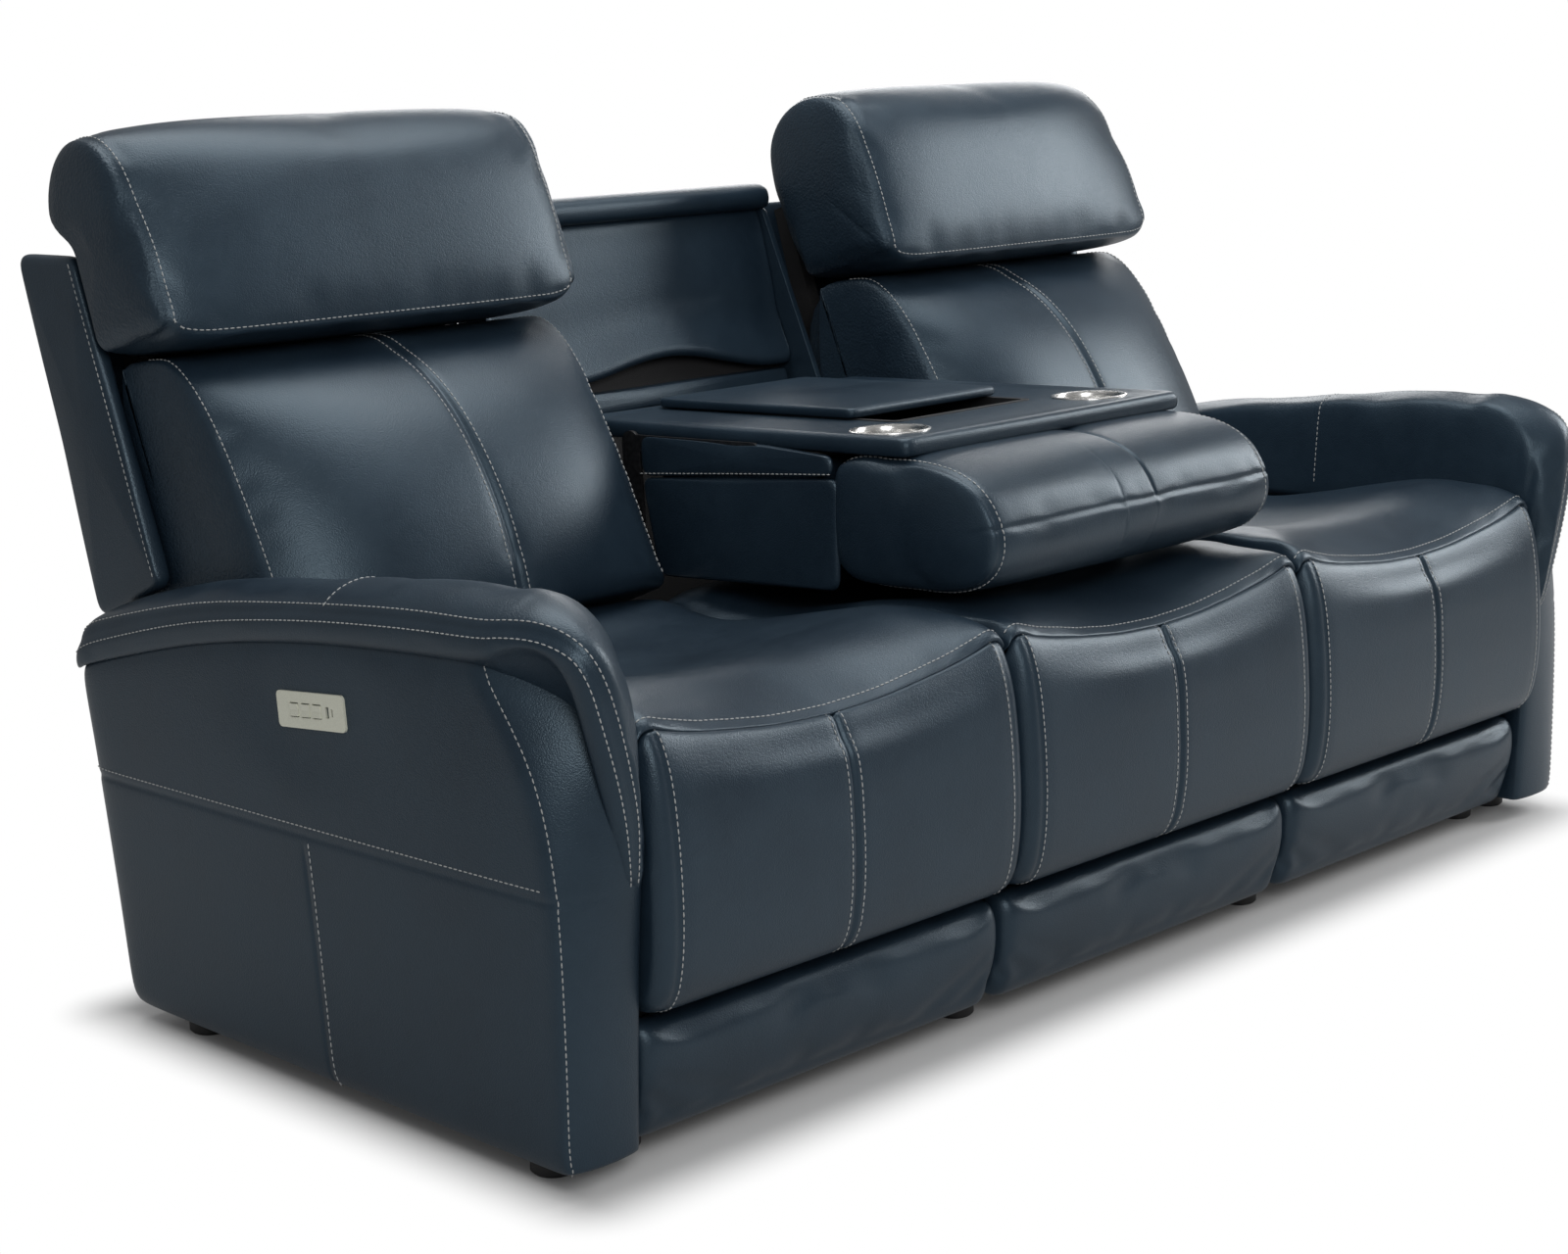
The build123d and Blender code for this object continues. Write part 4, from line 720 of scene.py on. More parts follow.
# %% Arm pads
pad_guides = np.array([
    # edge                outer row            inner row            crown                shoulder             foot
    [(-1027, 889, 444), (-1030, 888, 463), (-1022, 885, 482), (-978, 882, 492), (-934, 883, 484), (-924, 886, 440)],
    [(-1031, 874, 450), (-1036, 872, 474), (-1027, 868, 500), (-978, 866, 514), (-930, 868, 500), (-919, 872, 440)],
    [(-1031, 820, 466), (-1036, 820, 493), (-1028, 820, 518), (-978, 818, 534), (-930, 820, 518), (-918, 820, 440)],
    [(-1031, 630, 515), (-1036, 628, 543), (-1028, 630, 564), (-978, 630, 581), (-930, 630, 565), (-918, 630, 440)],
    [(-1031, 430, 549), (-1036, 426, 575), (-1028, 430, 592), (-978, 430, 613), (-930, 430, 597), (-918, 430, 440)],
    [(-1031, 242, 567), (-1036, 240, 594), (-1028, 243, 612), (-976, 240, 636), (-928, 240, 618), (-918, 240, 440)],
    [(-1032, 118, 577), (-1036, 115, 602), (-1029, 117, 619), (-975, 116, 645), (-928, 114, 626), (-918, 112, 440)],
    [(-1031, 82, 590), (-1033, 75, 607), (-1024, 74, 624), (-972, 70, 645), (-928, 70, 623), (-918, 75, 440)],
    [(-1025, 47, 597), (-1028, 40, 609), (-1018, 39, 626), (-970, 34, 635), (-928, 40, 609), (-918, 50, 440)],
    [(-1019, 22, 593), (-1021, 12, 605), (-1009, 8, 620), (-968, 6, 617), (-928, 20, 590), (-918, 36, 440)],
    [(-1012, 8, 579), (-1011, -13, 592), (-998, -17, 603), (-962, -14, 590), (-928, 6, 562), (-918, 26, 440)],
    [(-1003, -2, 548), (-1002, -27, 565), (-985, -29, 573), (-957, -23, 560), (-928, -4, 540), (-918, 20, 430)],
    [(-990, -8, 492), (-989, -31, 520), (-970, -33, 528), (-950, -28, 520), (-926, -10, 505), (-918, 14, 410)],
    [(-975, -12, 434), (-972, -32, 464), (-955, -34, 470), (-942, -30, 462), (-925, -13, 450), (-918, 10, 390)],
    [(-962, -12, 390), (-957, -29, 408), (-942, -31, 413), (-934, -27, 405), (-923, -15, 398), (-918, 8, 370)],
    [(-951, -10, 347), (-946, -22, 351), (-936, -24, 356), (-930, -22, 357), (-921, -13, 357), (-918, 6, 350)],
    [(-944, -6, 330), (-940, -14, 331), (-932, -16, 332), (-927, -15, 333), (-920, -9, 334), (-917, 4, 335)],
], float)


def stations(guides, steps):
    """Guide lines with more stations on smooth curves between those given."""
    return [along_keys(t, guides) for t in np.linspace(0, len(guides) - 1, (len(guides) - 1) * steps + 1)]


def pad_ring(points):
    """Closed slice of an arm's pad through the six guide points."""
    edge, first, second, crown, shoulder, foot = points
    middle = points[:5].mean(axis=0)

    def out(p, distance):
        away = p - middle
        return p + away / max(np.linalg.norm(away), 1e-6) * distance

    size = min(1.0, np.linalg.norm(edge - crown) / 70.0)
    tuck = edge + (foot - edge) * 0.10 + np.array([0, 0, 5.0]) * size
    line = [tuck, edge, out((edge + first) / 2, 2.5 * size), first, out((first + second) / 2, -1.6 * size), second,
            out(second * 0.55 + crown * 0.45, 6 * size), crown, out(crown * 0.45 + shoulder * 0.55, 6 * size), shoulder,
            shoulder * 0.62 + foot * 0.38, foot]
    line = np.array(line)
    dense = [along_keys(t, line) for t in np.arange(0, len(line) - 0.9, 0.5)]
    back = [foot + (tuck - foot) * s for s in (0.33, 0.67)]
    return np.array(dense + back)


pad_stations = stations(pad_guides, 4)
pad_rows = [pad_ring(p) for p in pad_stations]
PAD_AROUND = len(pad_rows[0])
CROSS = 16  # station of the seam across the pad
for r in (CROSS - 1, CROSS, CROSS + 1):
    centre = pad_rows[r][2:19].mean(axis=0)
    for c in range(9, 19):
        away = pad_rows[r][c] - centre
        pad_rows[r][c] -= away / np.linalg.norm(away) * (2.0 if r == CROSS else 0.3)
left_pad = loft("left_arm_padding", pad_rows, dome=(4.0, 2.0))
held = [r * PAD_AROUND + c for r in range(len(pad_rows)) for c in (0, 1, 2, 3, 5, 6, 7, 8, 9, 10, 11, *range(20, PAD_AROUND))]
held += [r * PAD_AROUND + c for r in (0, 1, CROSS, len(pad_rows) - 1, len(pad_rows) - 2) for c in range(PAD_AROUND)]
held += list(range(len(pad_rows) * PAD_AROUND, len(left_pad.data.vertices)))
puff(left_pad, held, 2.2, 5.0, slack=0.01)
smoothed(left_pad)
pad_lines = [[r * PAD_AROUND + c for r in range(2, len(pad_rows) - 2)] for c in (6, 10)]
pad_lines.append([(CROSS + 1) * PAD_AROUND + c for c in range(10, 23)])
right_pad = copy_of(left_pad, "right_arm_padding", mirror=True)
for side, obj in (("left", left_pad), ("right", right_pad)):
    dress(obj, "frame", smooth_hide, [f"{side}_arm_pad"])
    for line in pad_lines:
        sew("frame", obj, line)
print("arm pads:", len(left_pad.data.vertices), "vertices each")

# %% [markdown]
# ## Backs
# The outer backs lean on the recline axis, so they are drawn in that leaning plane: one measure to the rear, one up
# along the back. The cushion has a deep crown in its middle, a double-stitched seam down it, and boxing at its sides.

# %% Back cushions
LEAN = math.radians(20.0)


def leaning(x, rows):
    """Points of the leaning plane, to the rear and up, as sofa points."""
    rows = np.asarray(rows, float)
    y = 810.0 + rows[:, 0] * math.cos(LEAN) + rows[:, 1] * math.sin(LEAN)
    z = 370.0 - rows[:, 0] * math.sin(LEAN) + rows[:, 1] * math.cos(LEAN)
    return np.column_stack([np.full(len(rows), x), y, z])


back_half = [0, 3.5, 7, 10, 15, 24, 38, 56, 76, 98, 122, 146, 170, 194, 216, 236, 252, 265, 275, 280, 285, 289, 293, 296.5, 299,
             300.5, 301]
CROWN_UP = [30, 60, 110, 181, 240, 295, 350, 400, 424]
CROWN_MIDDLE = [318, 324, 325, 318, 304, 283, 249, 199, 170]
CROWN_SIDE = [272, 268, 262, 253, 243, 231, 216, 191, 168]
CROWN_OUTER = [268, 263, 256, 246, 236, 225, 209, 184, 162]


BACK_SEAM_OUT = 285.0 * 1.12


def back_ring(x):
    """Outline of a back cushion at one place across it; its outer side is wider."""
    reach = abs(x) / 285.0
    share = max(0.0, 1 - reach ** 3.6) if reach < 1 else 0.0
    front = [-(s + (m - s) * share) for m, s in zip(CROWN_MIDDLE, CROWN_OUTER if x < 0 else CROWN_SIDE)]
    fold = smooth_at(abs(x), [0, 285, 289, 293, 296.5, 299, 300.5, 301], [0, 0, 6, 20, 44, 78, 112, 140])
    groove = dip(x, 0, 4.0, 7) + dip(x, 285, 3.2, 7) + dip(x, 10, 0.7, 5) + dip(x, 275, 0.6, 6)
    face = [(min(p + groove + fold, -84.0), q) for p, q in zip(front, CROWN_UP)]
    top = [(face[-1][0] + 14, 430), (min(face[-1][0] + 38, -82), 436), (min(face[-1][0] + 70, -81), 442)]
    low = [(min(face[0][0] + 26, -82), 24), (min(face[0][0] + 7, -83), 26)]
    line = through(low + face + top, 34, near=(8, 16), far=(16, 8))
    ring = np.vstack([line[:-1], through([top[-1], (-80, 440), (-80, 24), low[0]], 10)[:-1]])
    return leaning(x if x >= 0 else x * 1.12 if reach <= 1 else -BACK_SEAM_OUT - (abs(x) - 285.0) * 0.56, ring)


back_rows = [back_ring(x) for x in both_sides(back_half)]
BACK_AROUND = len(back_rows[0])
left_back = loft("left_back_padding", back_rows)
middle = len(back_rows) // 2
edge_row = back_half.index(285)
seams = {middle, middle - 1, middle + 1, middle - edge_row, middle + edge_row}
held = [r * BACK_AROUND + c for r in range(len(back_rows)) for c in range(BACK_AROUND)
        if r in seams or r < 3 or r > len(back_rows) - 4 or c < 4 or c > 34]
held += list(range(len(back_rows) * BACK_AROUND, len(left_back.data.vertices)))
puff(left_back, held, 2.2, 7.0, slack=0.005)
smoothed(left_back)
left_back.data.transform(Matrix.Translation((-SEAT_PITCH / 1000, 0, 0)))
stitch_edge = back_half.index(280)
back_lines = [[r * BACK_AROUND + c for c in range(4, 37)]
              for r in (middle - 3, middle + 3, middle - stitch_edge, middle + stitch_edge)]
right_back = copy_of(left_back, "right_back_padding", mirror=True)
for side, obj in (("left", left_back), ("right", right_back)):
    dress(obj, f"{side}_back", smooth_hide, [f"{side}_back_cushion"])
    pebble(obj, lambda p: not -BACK_SEAM_OUT - 0.5 < SEAT_PITCH - abs(p.x * 1000) < 285.5)
    for line in back_lines:
        sew(f"{side}_back", obj, line)
print("back cushions:", len(left_back.data.vertices), "vertices each")

# %% [markdown]
# ## Headrests
# A headrest is a fat roll. Its front panel is full in the middle and draws back towards the end seams; the ends are
# pebbled caps that bulge a little. A stitch row follows the end seams and the seam under the front panel.

# %% Headrests
HEAD_CENTRE = 626.0
HEAD_SEAM = 305.0
HEAD_MIDDLE = [(-50, 458), (-110, 447), (-170, 437), (-220, 430), (-241, 430), (-247, 446), (-250, 490), (-251, 556),
               (-248, 622), (-239, 667), (-219, 700), (-184, 720), (-134, 727), (-86, 717), (-48, 685), (-30, 629), (-32, 545),
               (-50, 458)]
HEAD_END = [(-56, 460), (-110, 450), (-166, 441), (-214, 434), (-233, 434), (-237, 449), (-238, 490), (-237, 556), (-232, 616),
            (-224, 662), (-206, 695), (-173, 714), (-131, 721), (-88, 711), (-52, 680), (-36, 624), (-38, 545), (-56, 460)]
HEAD_OUTER = [(-56, 460), (-110, 450), (-162, 441), (-206, 434), (-225, 436), (-229, 452), (-228, 490), (-224, 556), (-211, 610),
              (-198, 662), (-177, 694), (-149, 713), (-119, 719), (-84, 708), (-53, 678), (-36, 624), (-38, 545), (-56, 460)]
OUTER_STRETCH = 1.09
head_half = [0, 25, 50, 75, 100, 125, 150, 175, 198, 220, 240, 258, 272, 283, 292, 299, 305, 309, 313, 316, 318]
BOTTOM_SEAM = 4


def head_ring(x):
    """Outline of a headrest at one place along it; the outer end stays clear of the wing beside it."""
    share = min(abs(x) / HEAD_SEAM, 1.0) ** 4
    points = np.array(HEAD_MIDDLE, float) * (1 - share) + np.array(HEAD_OUTER if x < 0 else HEAD_END, float) * share
    lift = smooth_at(abs(x), [0, 255, 278, 294, 305], [0, 0, 2, 7, 16])
    points[1:7, 1] += lift * np.array([0.25, 0.6, 1.0, 1.0, 0.85, 0.4])
    under = through(points[:BOTTOM_SEAM + 1], 8, far=(14, 7))
    over = through(points[BOTTOM_SEAM:], 34, near=(4, 8, 12, 17, 24))
    ring = np.vstack([under[:-1], over[:-1]])
    centre = ring.mean(axis=0)
    shrink = smooth_at(abs(x), [0, 305, 309, 313, 316, 318], [0, 0, 2, 6, 12, 22])
    shrink += dip(x, 305, 2.6, 7) + dip(x, 292, 0.6, 6)
    away = ring - centre
    size = np.linalg.norm(away, axis=1, keepdims=True)
    ring = ring - away / size * np.minimum(shrink, size * 0.6)
    groove = np.zeros(len(ring))
    groove[len(under) - 1] = 2.6
    groove[[len(under) - 2, len(under)]] = 0.8
    ring = ring - (ring - centre) / size * groove[:, None]
    wide = x * OUTER_STRETCH if x < 0 else x
    if wide < -303:
        ring[:, 0] = np.minimum(ring[:, 0], np.interp(ring[:, 1], [596, 650], [-88, -30]))
    return leaning(wide, ring)


head_rows = [head_ring(x) for x in both_sides(head_half)]
HEAD_AROUND = len(head_rows[0])
left_head = loft("left_headrest_padding", head_rows, dome=(5.0, 5.0))
middle = len(head_rows) // 2
end_row = head_half.index(305)
bottom = 11
held = [r * HEAD_AROUND + c for r in range(len(head_rows)) for c in range(HEAD_AROUND)
        if r in (middle - end_row, middle + end_row) or c == bottom or r < 5 and c > 36]
puff(left_head, held, 2.2, 6.0, slack=0.005)
smoothed(left_head)
row, turn = head_half.index(299), head_half.index(292)
head_lines = []
for sign in (-1, 1):
    head_lines.append([(middle + sign * row) * HEAD_AROUND + c for c in range(bottom + 3, bottom + 30)])
    head_lines.append([(middle + sign * row) * HEAD_AROUND + bottom + 3, (middle + sign * turn) * HEAD_AROUND + bottom + 2])
head_lines.append([r * HEAD_AROUND + bottom + 2 for r in range(middle - turn, middle + turn + 1)])
left_head.data.transform(Matrix.Translation((-HEAD_CENTRE / 1000, 0, 0)))
right_head = copy_of(left_head, "right_headrest_padding", mirror=True)
for side, sign, obj in (("left", -1, left_head), ("right", 1, right_head)):
    dress(obj, f"{side}_headrest", smooth_hide, [f"{side}_headrest_cushion"])
    pebble(obj, lambda p: not -HEAD_SEAM * OUTER_STRETCH - 0.5 < HEAD_CENTRE - abs(p.x * 1000) < HEAD_SEAM + 0.5)
    for line in head_lines:
        sew(f"{side}_headrest", obj, line)
print("headrests:", len(left_head.data.vertices), "vertices each")

# %% [markdown]
# ## Shells, skirts and the recess
# The backs' shells, the rear skirts and the recess behind the table are boards wrapped in hide over thin wadding: flat
# pads with soft edges. One function makes them all from an outline and a thickness.

# %% Flat pads
def outline_ring(corners, radius, step=26.0):
    """Points round a polygon with rounded corners, evenly spaced along its sides."""
    corners = np.asarray(corners, float)
    ring = []
    count = len(corners)
    for i in range(count):
        before, here, after = corners[i - 1], corners[i], corners[(i + 1) % count]
        a, b = before - here, after - here
        la, lb = np.linalg.norm(a), np.linalg.norm(b)
        cut = min(radius, la / 2.2, lb / 2.2)
        start, end = here + a / la * cut, here + b / lb * cut
        for t in (0, 0.25, 0.5, 0.75, 1):
            ring.append(start * (1 - t) ** 2 + here * 2 * t * (1 - t) + end * t * t)
        reach = after - b / lb * min(radius, lb / 2.2, np.linalg.norm(corners[(i + 2) % count] - after) / 2.2)
        more = max(1, int(np.linalg.norm(reach - end) / step))
        ring += [end + (reach - end) * k / more for k in range(1, more)]
    return np.array(ring)


def flat_pad(name, ring, place, thick, edge=9.0, swell=4.0):
    """Padded board: an outline, a function that puts (a, b, height) in the sofa, and a thickness."""
    centre = ring.mean(axis=0)
    away = ring - centre
    size = np.linalg.norm(away, axis=1, keepdims=True)
    rows = []
    for height, inset in ((0, edge), (edge * 0.25, edge * 0.42), (edge * 0.8, edge * 0.06), (thick / 2, 0),
                          (thick - edge * 0.8, edge * 0.06), (thick - edge * 0.25, edge * 0.42), (thick, edge)):
        flat = ring - away / size * inset
        rows.append([place(a, b, height) for a, b in flat])
    obj = loft(name, rows, dome=(swell * 0.3, swell), rings=(0.96, 0.88, 0.76, 0.6, 0.42, 0.22))
    return smoothed(obj)


def lean_point(x, p, q):
    """One point of the leaning plane."""
    return leaning(x, [(p, q)])[0]


WING_OUT, WING_IN = 968.0, 938.0
wing = outline_ring([(-78, 163), (-69, 587), (48, 626), (70, 156)], 16)
left_wing = flat_pad("left_back_wing", wing, lambda a, b, h: lean_point(-(WING_IN + 8 + h), a, b), 22.0, 8.0, 5.0)
rear_outline = outline_ring([(-966, 172), (-966, 606), (-314, 606), (-314, 4), (-914, 4), (-914, 172)], 10)
left_rear = flat_pad("left_back_rear", rear_outline,
                     lambda a, b, h: lean_point(a, 79 - 0.0526 * b - 30 + h, b), 30.0, 8.0, 3.0)
for side, mirror in (("left", False), ("right", True)):
    wing_piece = copy_of(left_wing, "right_back_wing", mirror=True) if mirror else left_wing
    rear_piece = copy_of(left_rear, "right_back_rear", mirror=True) if mirror else left_rear
    dress(wing_piece, f"{side}_back", smooth_hide, [f"{side}_back_shell"])
    dress(rear_piece, f"{side}_back", smooth_hide)
    sign = 1 if mirror else -1
    seam = through([(-70, 182), (-66, 380), (-61, 577)], 60)
    sewing.setdefault(f"{side}_back", []).append(
        [Vector((p[0], p[1] + FRONT, p[2])) / 1000 for p in leaning(sign * (WING_OUT + 0.4), seam)])
print("back shells dressed")

# %% Recess, skirts and rail
def recess_y(z):
    """Front face of the recess's rear panel."""
    return 884.0 + 0.268 * (z - 461.0)


lip = [(-298, 684), (-190, 694), (-88, 705), (-30, 716), (15, 722), (60, 723), (110, 717), (170, 704), (235, 692), (298, 690)]
lip_fine = through(lip, 36)
panel_rows = []
for x, z in lip_fine:
    face = [(3, z + 4), (-9, z - 2), (-15, z + 6), (-12, z + 26), (-5, z + 60), (-6, 830), (-5, 890), (0, 928), (10, 938)]
    line = through([(recess_y(h) + d, h) for d, h in face], 24)
    rear = through([(line[-1][0] + 16, line[-1][1]), (line[0][0] + 18, line[0][1])], 6)
    panel_rows.append(np.column_stack([np.full(len(line) + len(rear), x), np.vstack([line, rear])]))
recess = smoothed(loft("recess_panel", panel_rows))
dress(recess, "frame", smooth_hide, ["console_back_panel"])
board = outline_ring([(-298, 30), (-298, 934), (298, 934), (298, 30)], 8, 34)
backing = flat_pad("recess_backing", board, lambda a, b, h: (a, recess_y(b) + 30 - h, b), 16.0, 5.0, 1.0)
dress(backing, "frame", cloth_finish)
strip = outline_ring([(-298, 655), (-298, 684), (292, 684), (292, 655)], 7, 30)
flap = flat_pad("recess_flap", strip, lambda a, b, h: (a, recess_y(b) + 16 - h, b), 22.0, 4.0, 2.0)
dress(flap, "frame", smooth_hide)
cheek = [(704, 89), (781, 89), (828, 130), (1040, 930), (998, 930), (870, 652), (703, 610), (649, 584), (649, 520), (704, 450)]
cheek = outline_ring(cheek, 12)
for side, sign in (("left", -1), ("right", 1)):
    obj = flat_pad(f"{side}_recess_cheek", cheek, lambda a, b, h: (sign * (299 + h), a, b), 10.0, 4.0, 0.8)
    dress(obj, "frame", smooth_hide, ["console_cheeks"])
    near, far = sign * 310.0, sign * 920.0
    skirt = outline_ring([(near, 30), (near, 284), (far, 284), (far, 30)], 6, 40)
    obj = flat_pad(f"{side}_rear_skirt", skirt, lambda a, b, h: (a, 806 + 0.151 * (b - 28) + h, b), 14.0, 5.0, 2.0)
    dress(obj, "frame", smooth_hide, ["rear_skirts"])
rail_ring = through([(986, 944), (988, 931), (1002, 925), (1028, 925), (1043, 931), (1047, 946), (1043, 958), (1026, 963),
                     (1004, 963), (990, 956), (986, 944)], 22)[:-1]
rail_rows = [np.column_stack([np.full(len(rail_ring), x), rail_ring]) for x in np.linspace(-307, 307, 26)]
top_rail = smoothed(loft("recess_top_rail", rail_rows, dome=(2, 2)))
dress(top_rail, "frame", smooth_hide, ["console_top_rail"])
print("recess dressed")

# %% [markdown]
# ## The table
# The middle back lies folded down. From the top: the padded tray with two cup holders and the bin's lid, under it the
# back cushion, and in front the headrest of the middle seat, now a fat bolster over the seat.

# %% Table pieces
TILT = math.radians(2.94)


def on_tray(x, a, b):
    """Point of the tray's tilted plane: a back from its front edge, b up from its face."""
    return (x, 180.0 + a * math.cos(TILT) + b * math.sin(TILT), 713.0 - a * math.sin(TILT) + b * math.cos(TILT))


BOLSTER = [(120, -32), (92, -24), (40, -23), (-30, -25), (-82, -36), (-122, -60), (-146, -100), (-148, -126), (-138, -152),
           (-112, -174), (-70, -186), (0, -189), (60, -188), (104, -181), (126, -162), (133, -128), (132, -72), (120, -32)]
bolster_half = [0, 14, 26, 29, 32, 35, 38, 52, 72, 92, 114, 138, 162, 186, 208, 228, 244, 256, 266, 274, 280, 285, 289, 292]
CROSS_SEAM = 32.0
BOLSTER_SEAM = 16


def bolster_ring(x):
    """Outline of the bolster at one place along it."""
    ring = np.vstack([through(BOLSTER[:7], 13, far=(9, 4))[:-1], through(BOLSTER[6:], 26, near=(4, 9))[:-1]])
    centre = ring.mean(axis=0)
    away = ring - centre
    size = np.linalg.norm(away, axis=1, keepdims=True)
    shrink = smooth_at(abs(x), [0, 200, 250, 280, 285, 289, 292], [0, 0, 1, 3, 5, 9, 17]) + dip(x, 280, 3.0, 6)
    ring = ring - away / size * np.minimum(shrink, size * 0.7)
    ring[BOLSTER_SEAM] -= (away / size)[BOLSTER_SEAM] * 4.5
    if abs(x - CROSS_SEAM) < 1:
        ring[2:BOLSTER_SEAM] -= (away / size)[2:BOLSTER_SEAM] * 3.2
    return np.array([on_tray(x, a, b) for a, b in ring])


bolster_rows = [bolster_ring(x) for x in both_sides(bolster_half)]
BOLSTER_AROUND = len(bolster_rows[0])
bolster = loft("bolster_padding", bolster_rows, dome=(4.0, 4.0))
middle = len(bolster_rows) // 2
end_row = bolster_half.index(280)
held = [r * BOLSTER_AROUND + c for r in range(len(bolster_rows)) for c in range(BOLSTER_AROUND)
        if r in (middle - end_row, middle + end_row) or c == BOLSTER_SEAM or c > 28
        or (r == middle + bolster_half.index(32) and 2 <= c <= BOLSTER_SEAM)]
puff(bolster, held, 2.0, 5.0, slack=0.006)
smoothed(bolster)
dress(bolster, "table", smooth_hide, ["table_bolster"])
row = bolster_half.index(274)
for r in (middle - row, middle + row):
    sew("table", bolster, [r * BOLSTER_AROUND + c for c in (*range(40, BOLSTER_AROUND), *range(0, 34))])

cushion_half = [0, 28, 56, 84, 112, 140, 168, 196, 220, 240, 256, 266, 273, 278, 281, 282]


def table_cushion_ring(x):
    """Outline of the middle back's cushion under the tray."""
    line = [(152, -31), (151, -90), (153, -150), (164, -186), (190, -202), (250, -209), (310, -210), (370, -206), (420, -196),
            (446, -172), (455, -130), (456, -60), (454, -31)]
    ring = np.vstack([through(line, 34)[:-1], through([(454, -31), (152, -31)], 10)[:-1]])
    centre = np.array([303.0, -110.0])
    away = ring - centre
    size = np.linalg.norm(away, axis=1, keepdims=True)
    shrink = smooth_at(abs(x), [0, 240, 266, 278, 282], [0, 0, 3, 9, 20])
    ring = ring - away / size * shrink * (ring[:, 1:] < -34)
    return np.array([on_tray(x, a, b) for a, b in ring])


cushion_rows = [table_cushion_ring(x) for x in both_sides(cushion_half)]
under_cushion = smoothed(loft("table_back_padding", cushion_rows, dome=(3, 3)))
dress(under_cushion, "table", smooth_hide, ["table_cushion"])
for side, sign in (("left", -1), ("right", 1)):
    for part, corners, out in (("strip", [(122, -50), (122, -25), (240, -16), (474, -15), (474, -70)], 293.5),
                               ("side", [(118, -198), (112, -53), (474, -72), (450, -205)], 294)):
        shape = outline_ring(corners, 16, 20)
        obj = flat_pad(f"{side}_table_{part}", shape, lambda a, b, h: on_tray(sign * (282 + h), a, b), out - 282.0, 6.0, 2.5)
        dress(obj, "table", smooth_hide)
    seam = through([(124, -47.5), (300, -56.5), (470, -66)], 60)
    sewing.setdefault("table", []).append(
        [Vector((x, y + FRONT, z)) / 1000 for x, y, z in (on_tray(sign * 294.8, a, b) for a, b in seam)])
print("bolster and table cushion made")

# %% Tray, lid and cups
def cut(obj, tools):
    """Cuts shapes out of a piece and removes them."""
    for tool in tools:
        modifier = obj.modifiers.new("Cut", "BOOLEAN")
        modifier.object = tool
        modifier.operation = "DIFFERENCE"
        modifier.solver = "EXACT"
    graph = bpy.context.evaluated_depsgraph_get()
    mesh = bpy.data.meshes.new_from_object(obj.evaluated_get(graph))
    obj.modifiers.clear()
    old, obj.data = obj.data, mesh
    bpy.data.meshes.remove(old)
    for tool in tools:
        data = tool.data
        bpy.data.objects.remove(tool)
        bpy.data.meshes.remove(data)
    return obj


def prism(name, ring, low, high):
    """Straight plug through the tray."""
    return loft(name, [[on_tray(a, b, height) for a, b in ring] for height in np.linspace(low, high, 4)], rings=(0.5,))


tray_outline = outline_ring([(-284, 0), (-284, 610), (284, 610), (284, 0)], 16, 24)
tray_rows = []
for height, inset in ((-22, 6), (-20.5, 1), (-15, -1.5), (-8, -2), (-1, 0), (2.6, 5), (3.4, 13), (2, 24), (0.4, 38)):
    centre = tray_outline.mean(axis=0)
    away = tray_outline - centre
    flat = tray_outline - away / np.linalg.norm(away, axis=1, keepdims=True) * inset
    tray_rows.append([on_tray(a, b, height) for a, b in flat])
tray = smoothed(loft("tray_cover", tray_rows, rings=(0.95, 0.85, 0.7, 0.5, 0.25)))
circle = [(math.cos(t), math.sin(t)) for t in np.linspace(0, 2 * math.pi, 65)[:-1]]
plugs = [prism("plug", [(sign * 205 + 45.4 * a, 97 + 45.4 * b) for a, b in circle], -40, 20) for sign in (-1, 1)]
plugs.append(prism("plug", outline_ring([(-135, 150), (-135, 425), (135, 425), (135, 150)], 10), -40, 20))
cut(tray, plugs)
tray.data.set_sharp_from_angle(angle=math.radians(38))
dress(tray, "table", smooth_hide, ["table_tray"])

lid_outline = outline_ring([(-150, 214), (-150, 587), (150, 587), (150, 214)], 12, 22)
lid = flat_pad("lid_cover", lid_outline, lambda a, b, h: on_tray(a, b, 2.4 + h), 14.0, 5.0, 3.0)
dress(lid, "lid", smooth_hide, ["storage_lid"])

CUP = [(53, 0.2), (52.8, 1.6), (51, 2.5), (48.5, 2.5), (45.6, 1.6), (44.2, -0.6), (43.6, -6), (43.5, -40), (43.3, -66), (41, -69.6),
       (36, -70.4), (20, -70.5), (0.01, -70.5), (0.01, -72), (44.6, -72), (45, -66), (45, -2), (45, 0.2)]
cup_rows = [[on_tray(sign * 205 + r * a, 97 + r * b, h) for a, b in circle] for sign in (-1, 1) for r, h in CUP]
cup_verts = np.array(cup_rows).reshape(-1, 3)
cup_faces = []
for piece in range(2):
    for k in range(len(CUP)):
        for c in range(64):
            first, second = piece * len(CUP) + k, piece * len(CUP) + (k + 1) % len(CUP)
            d = (c + 1) % 64
            cup_faces.append((first * 64 + c, first * 64 + d, second * 64 + d, second * 64 + c))
cups = make_object("cup_liners", cup_verts, cup_faces)
cups.data.set_sharp_from_angle(angle=math.radians(40))
dress(cups, "table", steel_finish, ["cup_holders"])
print("tray, lid and cups made")

# %% [markdown]
# ## Stitches
# Every seam carries a row of pale thread. A row follows a path, so Geometry Nodes lay it: the path is cut into equal
# steps and each step gets one small spindle of thread.

